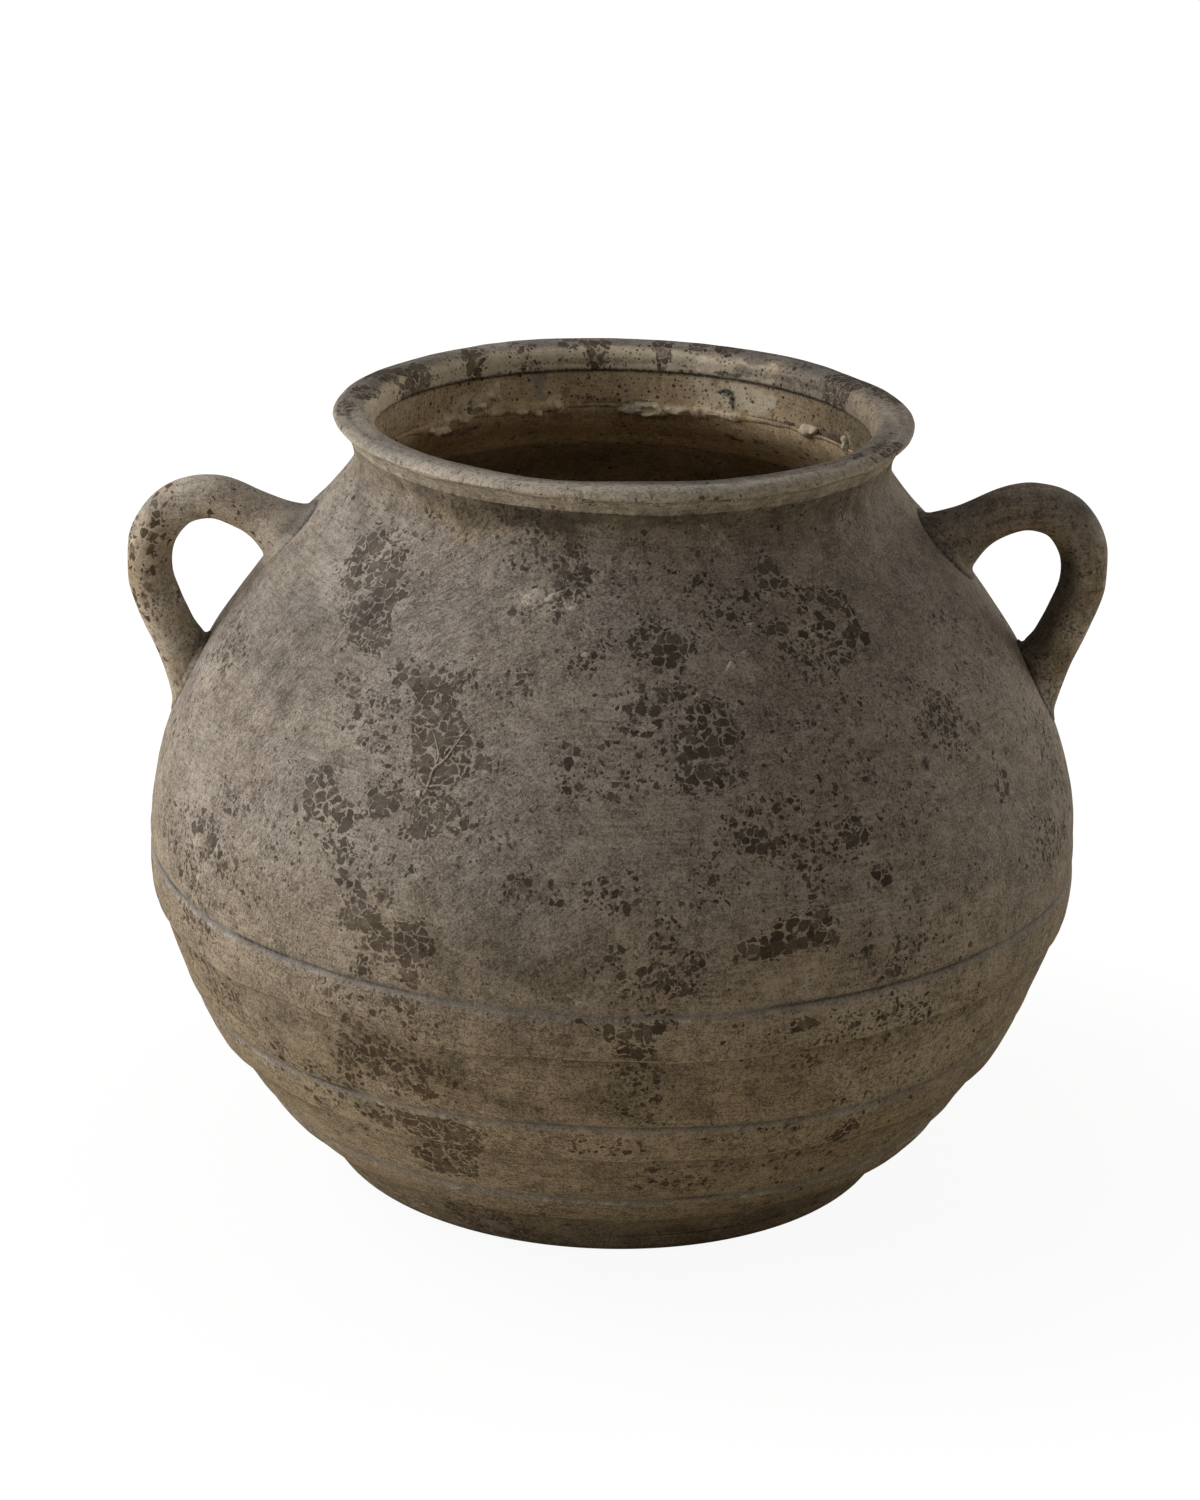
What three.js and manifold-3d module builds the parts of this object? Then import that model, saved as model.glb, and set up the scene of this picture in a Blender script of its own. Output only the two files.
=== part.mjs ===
// A round-bellied stoneware vase with two ring handles, built up from clay sections as a potter builds it.
// Millimetres, +Z up. The origin is the middle of the foot, on the surface that the vase stands on.
import * as THREE from 'three';
import { mergeVertices } from 'three/addons/utils/BufferGeometryUtils.js';
import Module from 'manifold-3d';

const wasm = await Module();
wasm.setup();

// Driving dimensions of the wall
const FOOT_RADIUS = 120;
const BELLY_RADIUS = 200;
const BELLY_HEIGHT = 148;
const NECK_RADIUS = 114.4;
const NECK_HEIGHT = 317;
const BEAD_RADIUS = 123.4;
const BEAD_HEIGHT = 333.6;
const WALL = 8.6;
const SLAB = 11;
const FOOT_ROUNDING = 5;
const FLOOR_DISH = 1.5;
const FLOOR_FILLET = 8;

// Heights at which one clay section ends and the next begins, each low join hidden by a strap
const FOOT_JOIN = 34.5;
const LOWER_JOIN = 77.4;
const BELLY_JOIN = 134.8;
const NECK_JOIN = 310;
const RIM_JOIN = 325.6;

// The slip layer in every join, and the ridge that keys one section into the next
const SLIP = 0.4;
const KEY = 3;

// The rim, from its throat over the crest to the bead
const COLLAR_RADIUS = 107.2;
const THROAT_RADIUS = 106;
const THROAT_TOP = 331.6;
const CREST_RADIUS = 114.6;
const VASE_HEIGHT = 338;

// The three straps: how far they stand out, and for each one its lower and upper edge
// and the slow waves with which it was laid, as their height, number per turn and start
const STRAP_LIFT = 1.9;
const STRAP_SOFT_EDGE = 0.3;
const SECOND_WAVE = 3;
const STRAPS = [
  { name: 'band_lower', low: 27.9, high: 41.2, sway: 1.3, turns: 3, start: 0.4 },
  { name: 'band_middle', low: 68.6, high: 86.2, sway: 1.5, turns: 2, start: 1.9 },
  { name: 'band_upper', low: 124.4, high: 145.1, sway: 1.7, turns: 2, start: 4.1 },
];

// The clay squeezed out inside the neck: how far it reaches inwards, stands up and hangs down,
// and the waves that make its edge ragged, each as number per turn, size and start
const SQUEEZED_REACH = 1.7;
const SQUEEZED_RISE = 3.4;
const SQUEEZED_DROP = 3.2;
const RAGGED_WAVES = [[5, 0.5, 1], [11, 0.35, 0], [17, 0.3, 2]];

// The handles: how much wider each roll of clay is across than through, and where it is pressed on the wall
const ROLL_EXTRA_WIDTH = 1;
const UPPER_ROOT_SPREAD = 9;
const LOWER_ROOT_SPREAD = 9;
const ROOT_SHARE = 0.17;
const HANDLE_STEPS = 24;
const HANDLE_SIDES = 12;

// The middle line of each roll from shoulder to belly, as radius and height. Each was bent by hand,
// so the right one stands a little higher than the left.
const HANDLES = [
  {
    name: 'handle_left',
    side: -1,
    halfThickness: 9.6,
    colour: 0x6f6454,
    route: [[126, 271], [144, 280], [160, 288.4], [174.7, 293.4], [190, 289.6], [200, 276.5],
      [202, 261], [197.9, 246.4], [190, 228.5], [182, 209], [175.5, 194]],
  },
  {
    name: 'handle_right',
    side: 1,
    halfThickness: 10.1,
    colour: 0x5c544a,
    route: [[129, 274], [147, 287.4], [162.9, 296.4], [176, 298.9], [189, 294.4], [197.6, 281.6],
      [198.9, 266], [193.6, 249.5], [186.6, 233.5], [180, 216], [173, 200]],
  },
];

// How finely the turned forms are divided
const TURN_STEPS = 60;

// The outside of the wall from foot to bead, as radius and height
const outside = new THREE.SplineCurve([
  new THREE.Vector2(FOOT_RADIUS, 0),
  new THREE.Vector2(FOOT_RADIUS + 12.9, 18),
  new THREE.Vector2(FOOT_RADIUS + 38.1, 45),
  new THREE.Vector2(BELLY_RADIUS - 14, BELLY_HEIGHT - 58),
  new THREE.Vector2(BELLY_RADIUS - 0.2, BELLY_HEIGHT - 14),
  new THREE.Vector2(BELLY_RADIUS - 2.2, BELLY_HEIGHT + 32),
  new THREE.Vector2(BELLY_RADIUS - 20.4, BELLY_HEIGHT + 78),
  new THREE.Vector2(BELLY_RADIUS - 51.2, BELLY_HEIGHT + 123),
  new THREE.Vector2(NECK_RADIUS + 13.6, NECK_HEIGHT - 23),
  new THREE.Vector2(NECK_RADIUS + 2.2, NECK_HEIGHT - 8.4),
  new THREE.Vector2(NECK_RADIUS, NECK_HEIGHT),
  new THREE.Vector2(NECK_RADIUS + 2.4, RIM_JOIN),
  new THREE.Vector2(BEAD_RADIUS, BEAD_HEIGHT),
]);

// The outside point at a height, moved inwards by depth and then along the wall by rise.
function wallPoint(height, depth = 0, rise = 0) {
  let low = 0;
  let high = 1;
  for (let i = 0; i < 40; i++) {
    const middle = (low + high) / 2;
    if (outside.getPoint(middle).y < height) low = middle;
    else high = middle;
  }
  const point = outside.getPoint(low);
  const along = outside.getTangent(low);
  return new THREE.Vector2(
    point.x - depth * along.y + rise * along.x,
    point.y + depth * along.x + rise * along.y,
  );
}

// Heights spread evenly from one to another, both included.
function heights(from, to, count) {
  return Array.from({ length: count + 1 }, (_, i) => from + ((to - from) * i) / count);
}

// The wall's line between two joins, at a depth inside it. Its lowest point leaves room for the slip.
function wallLine(from, to, count, depth = 0) {
  return heights(from, to, count).map((height, i) => wallPoint(height, depth, i === 0 ? SLIP : 0));
}

// Turns a closed outline of radius and height points about the Z axis.
function turned(outline) {
  const lathe = new THREE.LatheGeometry([...outline, outline[0]], TURN_STEPS);
  lathe.rotateX(Math.PI / 2);
  return closed(lathe);
}

// Keeps only the positions and joins the vertices that meet.
function closed(geometry) {
  geometry.deleteAttribute('normal');
  geometry.deleteAttribute('uv');
  return mergeVertices(geometry, 0.0005);
}

function toSolid(geometry) {
  return new wasm.Manifold(new wasm.Mesh({
    numProp: 3,
    vertProperties: new Float32Array(geometry.attributes.position.array),
    triVerts: new Uint32Array(geometry.index.array),
  }));
}

function toGeometry(solid) {
  const mesh = solid.getMesh();
  const geometry = new THREE.BufferGeometry();
  geometry.setAttribute('position', new THREE.BufferAttribute(mesh.vertProperties, 3));
  geometry.setIndex(new THREE.BufferAttribute(mesh.triVerts, 1));
  return geometry;
}

// Skins a row of rings of points. The row either closes on itself or ends in two flat caps.
function lofted(rings, endless) {
  const sides = rings[0].length;
  const positions = rings.flat().flatMap((p) => [p.x, p.y, p.z]);
  const index = [];
  const spans = endless ? rings.length : rings.length - 1;
  for (let i = 0; i < spans; i++) {
    const here = i * sides;
    const next = ((i + 1) % rings.length) * sides;
    for (let j = 0; j < sides; j++) {
      const k = (j + 1) % sides;
      index.push(here + j, here + k, next + j, next + j, here + k, next + k);
    }
  }
  if (!endless) {
    const last = (rings.length - 1) * sides;
    for (let j = 1; j < sides - 1; j++) {
      index.push(0, j + 1, j, last, last + j, last + j + 1);
    }
  }
  const geometry = new THREE.BufferGeometry();
  geometry.setAttribute('position', new THREE.Float32BufferAttribute(positions, 3));
  geometry.setIndex(index);
  return geometry;
}

// Carries an outline of radius and height points round the Z axis, where it may change with the angle.
function roundTheAxis(outlineAt) {
  const rings = [];
  for (let i = 0; i < TURN_STEPS; i++) {
    const angle = (i / TURN_STEPS) * Math.PI * 2;
    rings.push(outlineAt(angle).map(({ x: radius, y: height }) => new THREE.Vector3(
      radius * Math.sin(angle),
      radius * Math.cos(angle),
      height,
    )));
  }
  return lofted(rings, true);
}

// One ring of wall between two joins. Its lower edge is grooved and its upper edge ridged,
// so that each section sits keyed on the one below.
function wallSection(from, to, count) {
  return turned([
    ...wallLine(from, to, count),
    wallPoint(to, WALL / 2, KEY),
    ...wallLine(from, to, count, WALL).reverse(),
    wallPoint(from, WALL / 2, KEY + SLIP),
  ]);
}

// The round bottom of the vase, with a rounded edge and the ridge that the first wall ring sits on.
function baseSlab() {
  const edge = new THREE.QuadraticBezierCurve(
    new THREE.Vector2(FOOT_RADIUS - FOOT_ROUNDING, 0),
    new THREE.Vector2(FOOT_RADIUS, 0),
    wallPoint(FOOT_ROUNDING),
  ).getPoints(3);
  return turned([
    new THREE.Vector2(0, 0),
    ...edge,
    wallPoint(SLAB),
    wallPoint(SLAB, WALL / 2, KEY),
    wallPoint(SLAB, WALL),
    new THREE.Vector2(FOOT_RADIUS - WALL - FLOOR_FILLET, SLAB + FLOOR_DISH),
    new THREE.Vector2(0, SLAB),
  ]);
}

// The upright collar of the neck: hollow-waisted outside, straight inside.
function neckCollar() {
  const outer = wallLine(NECK_JOIN, RIM_JOIN, 3);
  const lowMiddle = (outer[0].x + COLLAR_RADIUS) / 2;
  const topMiddle = (outer[3].x + COLLAR_RADIUS) / 2;
  return turned([
    ...outer,
    new THREE.Vector2(topMiddle, RIM_JOIN + KEY / 2),
    new THREE.Vector2(COLLAR_RADIUS, RIM_JOIN),
    new THREE.Vector2(COLLAR_RADIUS, NECK_JOIN + SLIP),
    new THREE.Vector2(lowMiddle, NECK_JOIN + KEY / 2 + SLIP),
  ]);
}

// The belly and shoulder in one ring. It ends under the collar, so its upper edge is level there
// and as wide as the collar, and the wall thickens towards it inside.
function shoulderSection() {
  const outer = wallLine(BELLY_JOIN, NECK_JOIN, 12);
  const top = outer[outer.length - 1];
  return turned([
    ...outer,
    new THREE.Vector2((top.x + COLLAR_RADIUS) / 2, NECK_JOIN + KEY / 2),
    new THREE.Vector2(COLLAR_RADIUS, NECK_JOIN),
    ...wallLine(BELLY_JOIN, NECK_JOIN - WALL, 9, WALL).reverse(),
    wallPoint(BELLY_JOIN, WALL / 2, KEY + SLIP),
  ]);
}

// The out-turned rim: a flared underside, a round bead, a broad crest and a throat that falls inwards.
function rimRing() {
  const flare = wallLine(RIM_JOIN, BEAD_HEIGHT, 3);
  const over = new THREE.CubicBezierCurve(
    flare[3],
    new THREE.Vector2(BEAD_RADIUS - 0.2, VASE_HEIGHT - 1.6),
    new THREE.Vector2(BEAD_RADIUS - 3.4, VASE_HEIGHT),
    new THREE.Vector2(CREST_RADIUS, VASE_HEIGHT),
  ).getPoints(4);
  const down = new THREE.QuadraticBezierCurve(
    over[4],
    new THREE.Vector2(THROAT_RADIUS + 0.6, VASE_HEIGHT - 0.6),
    new THREE.Vector2(THROAT_RADIUS, THROAT_TOP),
  ).getPoints(3);
  const foot = RIM_JOIN + SLIP;
  return turned([
    ...flare,
    ...over.slice(1),
    ...down.slice(1),
    new THREE.Vector2(THROAT_RADIUS, foot + 0.8),
    new THREE.Vector2(THROAT_RADIUS + 0.8, foot),
    new THREE.Vector2(COLLAR_RADIUS, foot),
    new THREE.Vector2((flare[0].x + COLLAR_RADIUS) / 2, foot + KEY / 2),
  ]);
}

// How far a hand-laid strap strays up or down at an angle round the vase.
function sway(strap, angle) {
  return strap.sway * (0.6 * Math.sin(strap.turns * angle + strap.start)
    + 0.4 * Math.sin((strap.turns + SECOND_WAVE) * angle + 2 * strap.start));
}

// A flat strap of clay laid round the wall over a join. Its upper edge is pressed thin,
// and its lower edge stands out as a small step.
function strapRing(strap) {
  const section = [
    { up: 0, out: STRAP_LIFT },
    { up: 0.5, out: STRAP_LIFT },
    { up: 0.93, out: STRAP_LIFT - STRAP_SOFT_EDGE },
    { up: 1, out: SLIP },
    { up: 0.5, out: SLIP },
    { up: 0, out: SLIP },
  ];
  return roundTheAxis((angle) => {
    const base = strap.low + sway(strap, angle);
    return section.map(({ up, out }) => wallPoint(base + up * (strap.high - strap.low), -out));
  });
}

// The ragged clay that squeezed out inside the neck when the collar was pressed down on the shoulder.
function seamCoil() {
  const back = COLLAR_RADIUS - SLIP;
  return roundTheAxis((angle) => {
    const waves = RAGGED_WAVES.map(([turns, size, start]) => size * Math.sin(turns * angle + start));
    const ragged = waves.reduce((sum, wave) => sum + wave);
    const reach = SQUEEZED_REACH + 0.8 * ragged;
    const drop = SQUEEZED_DROP + 1.4 * ragged;
    return [
      new THREE.Vector2(back, NECK_JOIN + SQUEEZED_RISE),
      new THREE.Vector2(back - reach * 0.7, NECK_JOIN + SQUEEZED_RISE * 0.65),
      new THREE.Vector2(back - reach, NECK_JOIN - drop * 0.3),
      new THREE.Vector2(back - reach * 0.8, NECK_JOIN - drop),
      new THREE.Vector2(back, NECK_JOIN - SLIP),
    ];
  });
}

// The filled outer form of the vase, grown by the slip layer: what the handles are cut to fit.
function handleSeat() {
  const outer = heights(0, BEAD_HEIGHT, 40).map((h) => wallPoint(h, -SLIP));
  return toSolid(turned([
    new THREE.Vector2(0, 0),
    ...outer,
    new THREE.Vector2(0, BEAD_HEIGHT),
  ]));
}

// How much wider the roll is at a share of its length, counted from the end that is pressed on.
function rootSpread(share, spread) {
  const near = Math.max(0, 1 - share / ROOT_SHARE);
  return spread * near * near;
}

// One ring handle: a roll of clay swept from the shoulder, over the top and down to the belly,
// spread where it is pressed on, and cut to the wall.
function handle(side, halfThickness, route, seat) {
  const line = new THREE.CatmullRomCurve3(
    route.map(([r, z]) => new THREE.Vector3(side * r, 0, z)),
    false,
    'centripetal',
  );
  const across = new THREE.Vector3(0, 1, 0);
  const rings = [];
  for (let i = 0; i <= HANDLE_STEPS; i++) {
    const share = i / HANDLE_STEPS;
    const centre = line.getPointAt(share);
    const inPlane = new THREE.Vector3().crossVectors(across, line.getTangentAt(share)).normalize();
    const spread = rootSpread(share, UPPER_ROOT_SPREAD) + rootSpread(1 - share, LOWER_ROOT_SPREAD);
    const ring = [];
    for (let j = 0; j < HANDLE_SIDES; j++) {
      const angle = (j / HANDLE_SIDES) * Math.PI * 2;
      ring.push(centre.clone()
        .addScaledVector(inPlane, (halfThickness + spread) * Math.cos(angle))
        .addScaledVector(across, (halfThickness + ROLL_EXTRA_WIDTH + spread * 0.6) * Math.sin(angle)));
    }
    rings.push(ring);
  }
  return toGeometry(toSolid(lofted(rings, false)).subtract(seat));
}

// Fired clay in the greys and browns of each place on the vase.
function clay(colour, roughness = 0.9) {
  return new THREE.MeshStandardMaterial({ color: colour, roughness, metalness: 0 });
}

const vase = new THREE.Group();

function add(name, geometry, material) {
  const mesh = new THREE.Mesh(geometry, material);
  mesh.name = name;
  vase.add(mesh);
}

add('base_slab', baseSlab(), clay(0x5b5146));
add('foot_section', wallSection(SLAB, FOOT_JOIN, 3), clay(0x62584c));
add('lower_section', wallSection(FOOT_JOIN, LOWER_JOIN, 4), clay(0x675d51));
add('middle_section', wallSection(LOWER_JOIN, BELLY_JOIN, 4), clay(0x6a6157));
add('shoulder_section', shoulderSection(), clay(0x6e665d));
add('neck_collar', neckCollar(), clay(0x77695a));
add('rim_ring', rimRing(), clay(0x6d6357, 0.85));
for (const strap of STRAPS) {
  add(strap.name, strapRing(strap), clay(0x6b6257));
}
add('neck_seam_coil', seamCoil(), clay(0x8f8068));
const seat = handleSeat();
for (const { name, side, halfThickness, route, colour } of HANDLES) {
  add(name, handle(side, halfThickness, route, seat), clay(colour));
}

export default vase;
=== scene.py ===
import math

import bpy
import numpy as np
from mathutils import Matrix, Vector


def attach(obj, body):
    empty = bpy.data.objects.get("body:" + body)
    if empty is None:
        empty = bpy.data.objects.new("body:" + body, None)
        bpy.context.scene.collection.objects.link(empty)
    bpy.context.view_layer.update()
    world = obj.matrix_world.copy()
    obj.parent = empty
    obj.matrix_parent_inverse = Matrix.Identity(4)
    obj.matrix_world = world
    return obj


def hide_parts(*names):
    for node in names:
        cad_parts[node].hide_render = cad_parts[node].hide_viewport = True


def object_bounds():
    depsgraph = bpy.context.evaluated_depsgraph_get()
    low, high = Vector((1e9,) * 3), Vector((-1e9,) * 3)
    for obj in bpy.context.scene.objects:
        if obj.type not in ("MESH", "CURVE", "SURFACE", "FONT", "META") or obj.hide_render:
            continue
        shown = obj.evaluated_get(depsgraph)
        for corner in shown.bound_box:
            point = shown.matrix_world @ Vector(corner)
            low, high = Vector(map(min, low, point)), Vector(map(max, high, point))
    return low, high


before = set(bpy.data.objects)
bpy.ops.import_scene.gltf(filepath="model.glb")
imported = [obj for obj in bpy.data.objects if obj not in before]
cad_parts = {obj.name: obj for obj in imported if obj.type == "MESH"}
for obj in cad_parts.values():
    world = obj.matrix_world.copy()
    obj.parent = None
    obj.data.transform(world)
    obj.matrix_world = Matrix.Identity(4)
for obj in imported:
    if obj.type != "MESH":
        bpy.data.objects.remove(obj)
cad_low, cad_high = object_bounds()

MM = 0.001
TURN = 2 * math.pi
draw = np.random.default_rng(41)

# The outside of the wall from foot to bead, as radius and height
OUTLINE = np.array([
    (120, 0), (132.9, 18), (158.1, 45), (186, 90), (199.8, 134), (197.8, 180), (179.6, 226),
    (148.8, 271), (128, 294), (116.6, 308.6), (114.4, 317), (116.8, 325.6), (123.4, 333.6),
], float)
VASE_HEIGHT = cad_high.z / MM
WALL = 8.6
SLAB = 11
FOOT_ROUNDING = 5
FOOT_JOIN = 34.5
LOWER_JOIN = 77.4
BELLY_JOIN = 134.8
NECK_JOIN = 310
RIM_JOIN = 325.6
COLLAR_RADIUS = 107.2
THROAT_RADIUS = 106
THROAT_TOP = 331.6
CREST_RADIUS = 114.6
BEAD_RADIUS, BEAD_HEIGHT = OUTLINE[-1]

# The straps: lower and upper edge, the slow waves they were laid with, and where the crease above them is
# pressed deeper and painted dark, as shade, as azimuth, half width in degrees and strength
STRAPS = {
    "band_lower": dict(low=27.9, high=41.2, sway=1.3, turns=3, start=0.4, dark=[(14, 5, 1.0), (-50, 12, 0.5)]),
    "band_middle": dict(low=68.6, high=86.2, sway=1.5, turns=2, start=1.9,
                        dark=[(-38, 5, 1.0), (8, 22, 0.6), (-20, 8, 0.4)]),
    "band_upper": dict(low=124.4, high=145.1, sway=1.7, turns=2, start=4.1,
                       dark=[(-72, 9, 1.0), (-45, 5, 1.0), (-30, 10, 0.7), (35, 18, 0.9), (62, 9, 0.6)]),
}
STRAP_LIFT = 1.9
# By how many turns the straps' second, quicker wave differs from the first
SECOND_WAVE = 3

# How far the body strays from a true turned form
FOOT_SHIFT = 1.0
FOOT_SHIFT_TOP = 120
UNEVEN = 0.32
LUMPY = 0.16
GRAINY = 0.05

# How finely the pieces are divided
WALL_COLUMNS = 640
STRAP_COLUMNS = 960
RIM_COLUMNS = 900
NECK_COLUMNS = 720

# Blistered patches of the surface: azimuth from the front and height of the middle, half width
# and half height in millimetres, tilt in degrees, and how thickly the blisters stand
BLISTERS = [
    (-51, 289, 14, 13, 5, 1.0), (-44, 276, 12, 11, 0, 1.0), (-50, 296, 10, 6, 0, 0.8), (-25, 251, 13, 13, 0, 1.0),
    (-23, 234, 13, 14, 0, 1.0), (-31, 260, 12, 7, 0, 0.75), (-35, 246, 16, 10, 0, 0.6),
    (-37, 210, 16, 8, -10, 0.95), (-30, 217, 12, 7, 0, 0.85), (-22, 217, 13, 9, 0, 0.95), (-34, 197, 7, 5, 0, 0.7),
    (-20, 262, 17, 7, 0, 0.45), (-19, 323, 11, 7, 0, 0.5), (-16, 312, 7, 12, 15, 0.45), (-9, 301, 6, 10, 0, 0.7),
    (-19, 302, 7, 5, 0, 0.6), (-14, 288, 16, 7, 0, 0.35), (-4, 277, 10, 9, 0, 0.45), (7, 276, 13, 9, 0, 0.75),
    (8, 262, 14, 11, 0, 0.7), (-5, 237, 13, 10, 0, 0.45), (1, 243, 13, 14, 0, 0.4), (5, 236, 14, 7, 0, 0.55),
    (-63, 166, 26, 15, 0, 0.5), (-53, 178, 17, 10, 0, 0.4), (29.5, 300, 5, 7, 0, 1.0), (31, 295, 7, 5, -20, 1.0),
    (35, 291, 8, 5, -15, 1.0), (40, 287, 7, 5, -20, 1.0), (33, 286, 10, 5, 0, 1.0), (27, 283, 8, 5, 0, 0.95),
    (36, 281.5, 8, 3.5, 0, 0.85), (42.5, 281, 3, 5, 0, 1.0), (41.5, 275, 4.5, 5, 10, 1.0),
    (38, 270.5, 5, 3.5, 30, 1.0), (30, 275, 9, 5, 0, 0.5), (23, 287, 8, 10, 0, 0.55), (18, 290, 7, 7, 0, 0.6),
    (15, 297, 5, 5, 0, 0.6), (31, 266, 10, 6, 0, 0.45), (-8, 299, 8, 10, 0, 0.45), (-54, 285, 5.8, 5.3, 0, 0.9),
    (-49, 275, 5.4, 5.5, 0, 0.85), (-52, 292, 6.3, 3.8, 0, 0.9), (-43, 283, 8.2, 7.5, 0, 0.95),
    (-41, 268, 6.2, 4.6, 0, 0.9), (-40, 251, 10, 4.7, 0, 0.5), (-39, 240, 7.7, 5.2, 0, 0.5),
    (-34, 249, 7.1, 5.6, 0, 0.6), (-34, 234, 8.6, 4, 0, 0.5), (-33, 258, 5.3, 3.4, 0, 0.6),
    (-29, 228, 8.6, 6.2, 0, 0.55), (-58, 178, 13.8, 10.1, 0, 0.7), (-56, 195, 9.7, 6.8, 0, 0.6),
    (-61, 162, 10.4, 7, 0, 0.6), (14, 259, 7, 7, 0, 0.75), (13, 247, 11, 11, 0, 0.9), (13, 235, 12, 8, 0, 0.9),
    (25, 249, 9, 3, 0, 0.5), (51, 241, 14, 11, 0, 0.6), (51, 224, 8, 5, 0, 0.5), (71, 255, 12, 9, 0, 0.3),
    (19, 219, 16, 7, 0, 0.6), (19, 210, 13, 6, 0, 0.7), (27, 207, 17, 10, 0, 0.55), (31, 209, 6, 7, 0, 0.9),
    (33, 192, 6, 5, 0, 0.7), (-4, 192, 23, 6, 0, 0.55), (13, 195, 11, 13, 0, 0.4), (59, 209, 7, 9, 0, 0.75),
    (68, 174, 21, 10, 0, 0.5), (-32, 186, 8, 10, 10, 0.7), (-27, 183, 4, 5, 0, 1.0), (-30, 171, 9, 6, 0, 0.85),
    (-26, 163, 17, 8, 35, 1.0), (-23, 155, 6, 8, 20, 0.9), (-25, 141, 10, 4, -8, 0.85), (-30, 134, 15, 6, -8, 0.55),
    (-60, 139, 16, 10, 15, 0.6), (-59, 113, 29, 14, 0, 0.55), (-29, 117, 18, 9, -12, 0.65),
    (-28, 103, 18, 13, -10, 0.75), (-23, 97, 5, 5, 0, 0.95), (-11, 187, 10, 4, 0, 0.35), (2, 193, 6, 7, 0, 0.55),
    (6, 175, 10, 6, 0, 0.7), (1, 165, 9, 8, 0, 0.6), (10, 167, 7, 7, 0, 1.0), (5, 162, 9, 7, 0, 0.7),
    (9, 156, 6, 3, 0, 0.9), (2, 153, 9, 4, 0, 0.5), (24, 180, 9, 4, 0, 0.95), (22, 173, 8, 4, 0, 0.9),
    (26, 176, 3, 6, 0, 1.0), (17, 170, 8, 4, 0, 0.95), (24, 193, 11, 5, 0, 0.5), (37, 177, 5, 3, 0, 0.6),
    (37, 163, 7, 4, 0, 0.6), (35, 152, 6, 4, 0, 0.85), (31, 163, 2, 2, 0, 1.0), (23, 136, 6, 3, 0, 0.9),
    (31, 131, 23, 6, 12, 0.55), (39, 129, 5, 5, 0, 0.9), (1, 138, 8, 6, 0, 0.85), (5, 138, 8, 6, 0, 0.8),
    (3, 129, 8, 3, 0, 1.0), (-3, 142, 8, 3, -5, 0.9), (3, 118, 9, 5, 0, 0.6), (4, 102, 12, 10, 0, 0.45),
    (5, 93, 9, 5, 0, 0.6), (24, 117, 6, 4, 0, 0.55), (32, 69, 11, 6, 25, 0.95), (12, 57, 19, 9, 4, 0.5),
    (-28, 78, 12, 10, -10, 0.7), (-22, 76, 14, 9, -12, 0.85), (-20, 71, 9, 7, -10, 1.0), (-24, 57, 13, 10, -8, 0.8),
    (-23, 15, 13, 18, -12, 0.6), (-39, 76, 26, 18, -20, 0.35), (18, 84, 18, 7, 0, 0.35), (-1, 78, 14, 6, 0, 0.35),
    (-75, 240, 20, 14, 0, 0.5), (-82, 120, 24, 16, 20, 0.5), (78, 205, 18, 16, 0, 0.5),
    (80, 110, 22, 14, -15, 0.45),
]
SOOT = [
    (-14, 304, 7, 6, 0, 0.35), (-10, 299, 6, 4, 0, 0.3), (-45, 279, 9, 9, 30, 0.4), (44.7, 227, 2.6, 2.6, 0, 1),
    (31, 163, 3, 2, 0, 0.9), (2, 285, 30, 10, 0, 0.12), (60, 150, 22, 30, 0, 0.12),
]
RUST = [
    (-25, 236, 12, 20, 15, 0.3), (-26, 156, 14, 12, 0, 0.5), (60, 203, 5, 6, 0, 0.6), (2, 138, 26, 8, 0, 0.6),
    (-22, 70, 20, 14, 0, 0.5), (20, 172, 22, 9, 0, 0.6), (7, 167, 16, 14, 0, 0.5), (-14, 317, 10, 8, 0, 0.5),
]
# Pale dust, and painted light on the lower right of the body
DUST_AND_LIGHT = [
    (-24, 229, 5, 9, 30, 0.5), (-12, 292, 12, 5, 0, 0.6), (18, 272, 9, 5, -30, 0.6), (-36, 205, 22, 10, 20, 0.2),
    (8, 252, 12, 10, 0, 0.2), (-48, 110, 40, 20, 0, 0.15), (12, 283, 9, 6, 0, 0.4), (44.7, 227, 4.4, 4.4, 0, 0.5),
    (-42, 185, 20, 16, 0, 0.2), (35, 134, 32, 14, 0, 0.6), (40, 106, 36, 20, 0, 0.45), (33, 286, 15, 14, 0, 0.75),
]
OCHRE = [
    (-32, 315, 20, 7, 0, 0.6), (1, 168, 24, 25, 0, 0.2), (22, 164, 31, 21, 0, 0.18), (-25, 166, 27, 25, 0, 0.2),
    (36, 66, 13, 9, 20, 0.6), (42, 71, 7, 5, 10, 0.9), (60, 203, 7, 4, 0, 0.8), (-20, 89, 42, 26, 0, 0.15),
]
# Patches of grime, and of painted shade under the straps, under the rim and over broad dim places
GRIME_AND_SHADE = [
    (-19, 115, 8, 11, 0, 0.8), (-26, 121, 29, 8, -12, 0.5), (-10, 120, 25, 6, -4, 0.5), (18, 121, 26, 5, 5, 0.4),
    (19, 13, 30, 14, 0, 0.5), (-31, 10, 35, 14, -12, 0.35), (0, 323, 52, 6, 0, 0.8), (44, 319, 41, 11, 10, 0.5),
    (44, 300, 31, 12, 0, 0.2), (-66, 321, 33, 14, -30, 0.3), (40, 20, 40, 12, 0, 0.4), (-8, 152, 50, 22, 0, 0.22),
    (-28, 108, 62, 18, -8, 0.38), (5, 108, 40, 18, 0, 0.38), (-52, 262, 40, 36, 0, 0.28),
]
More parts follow.
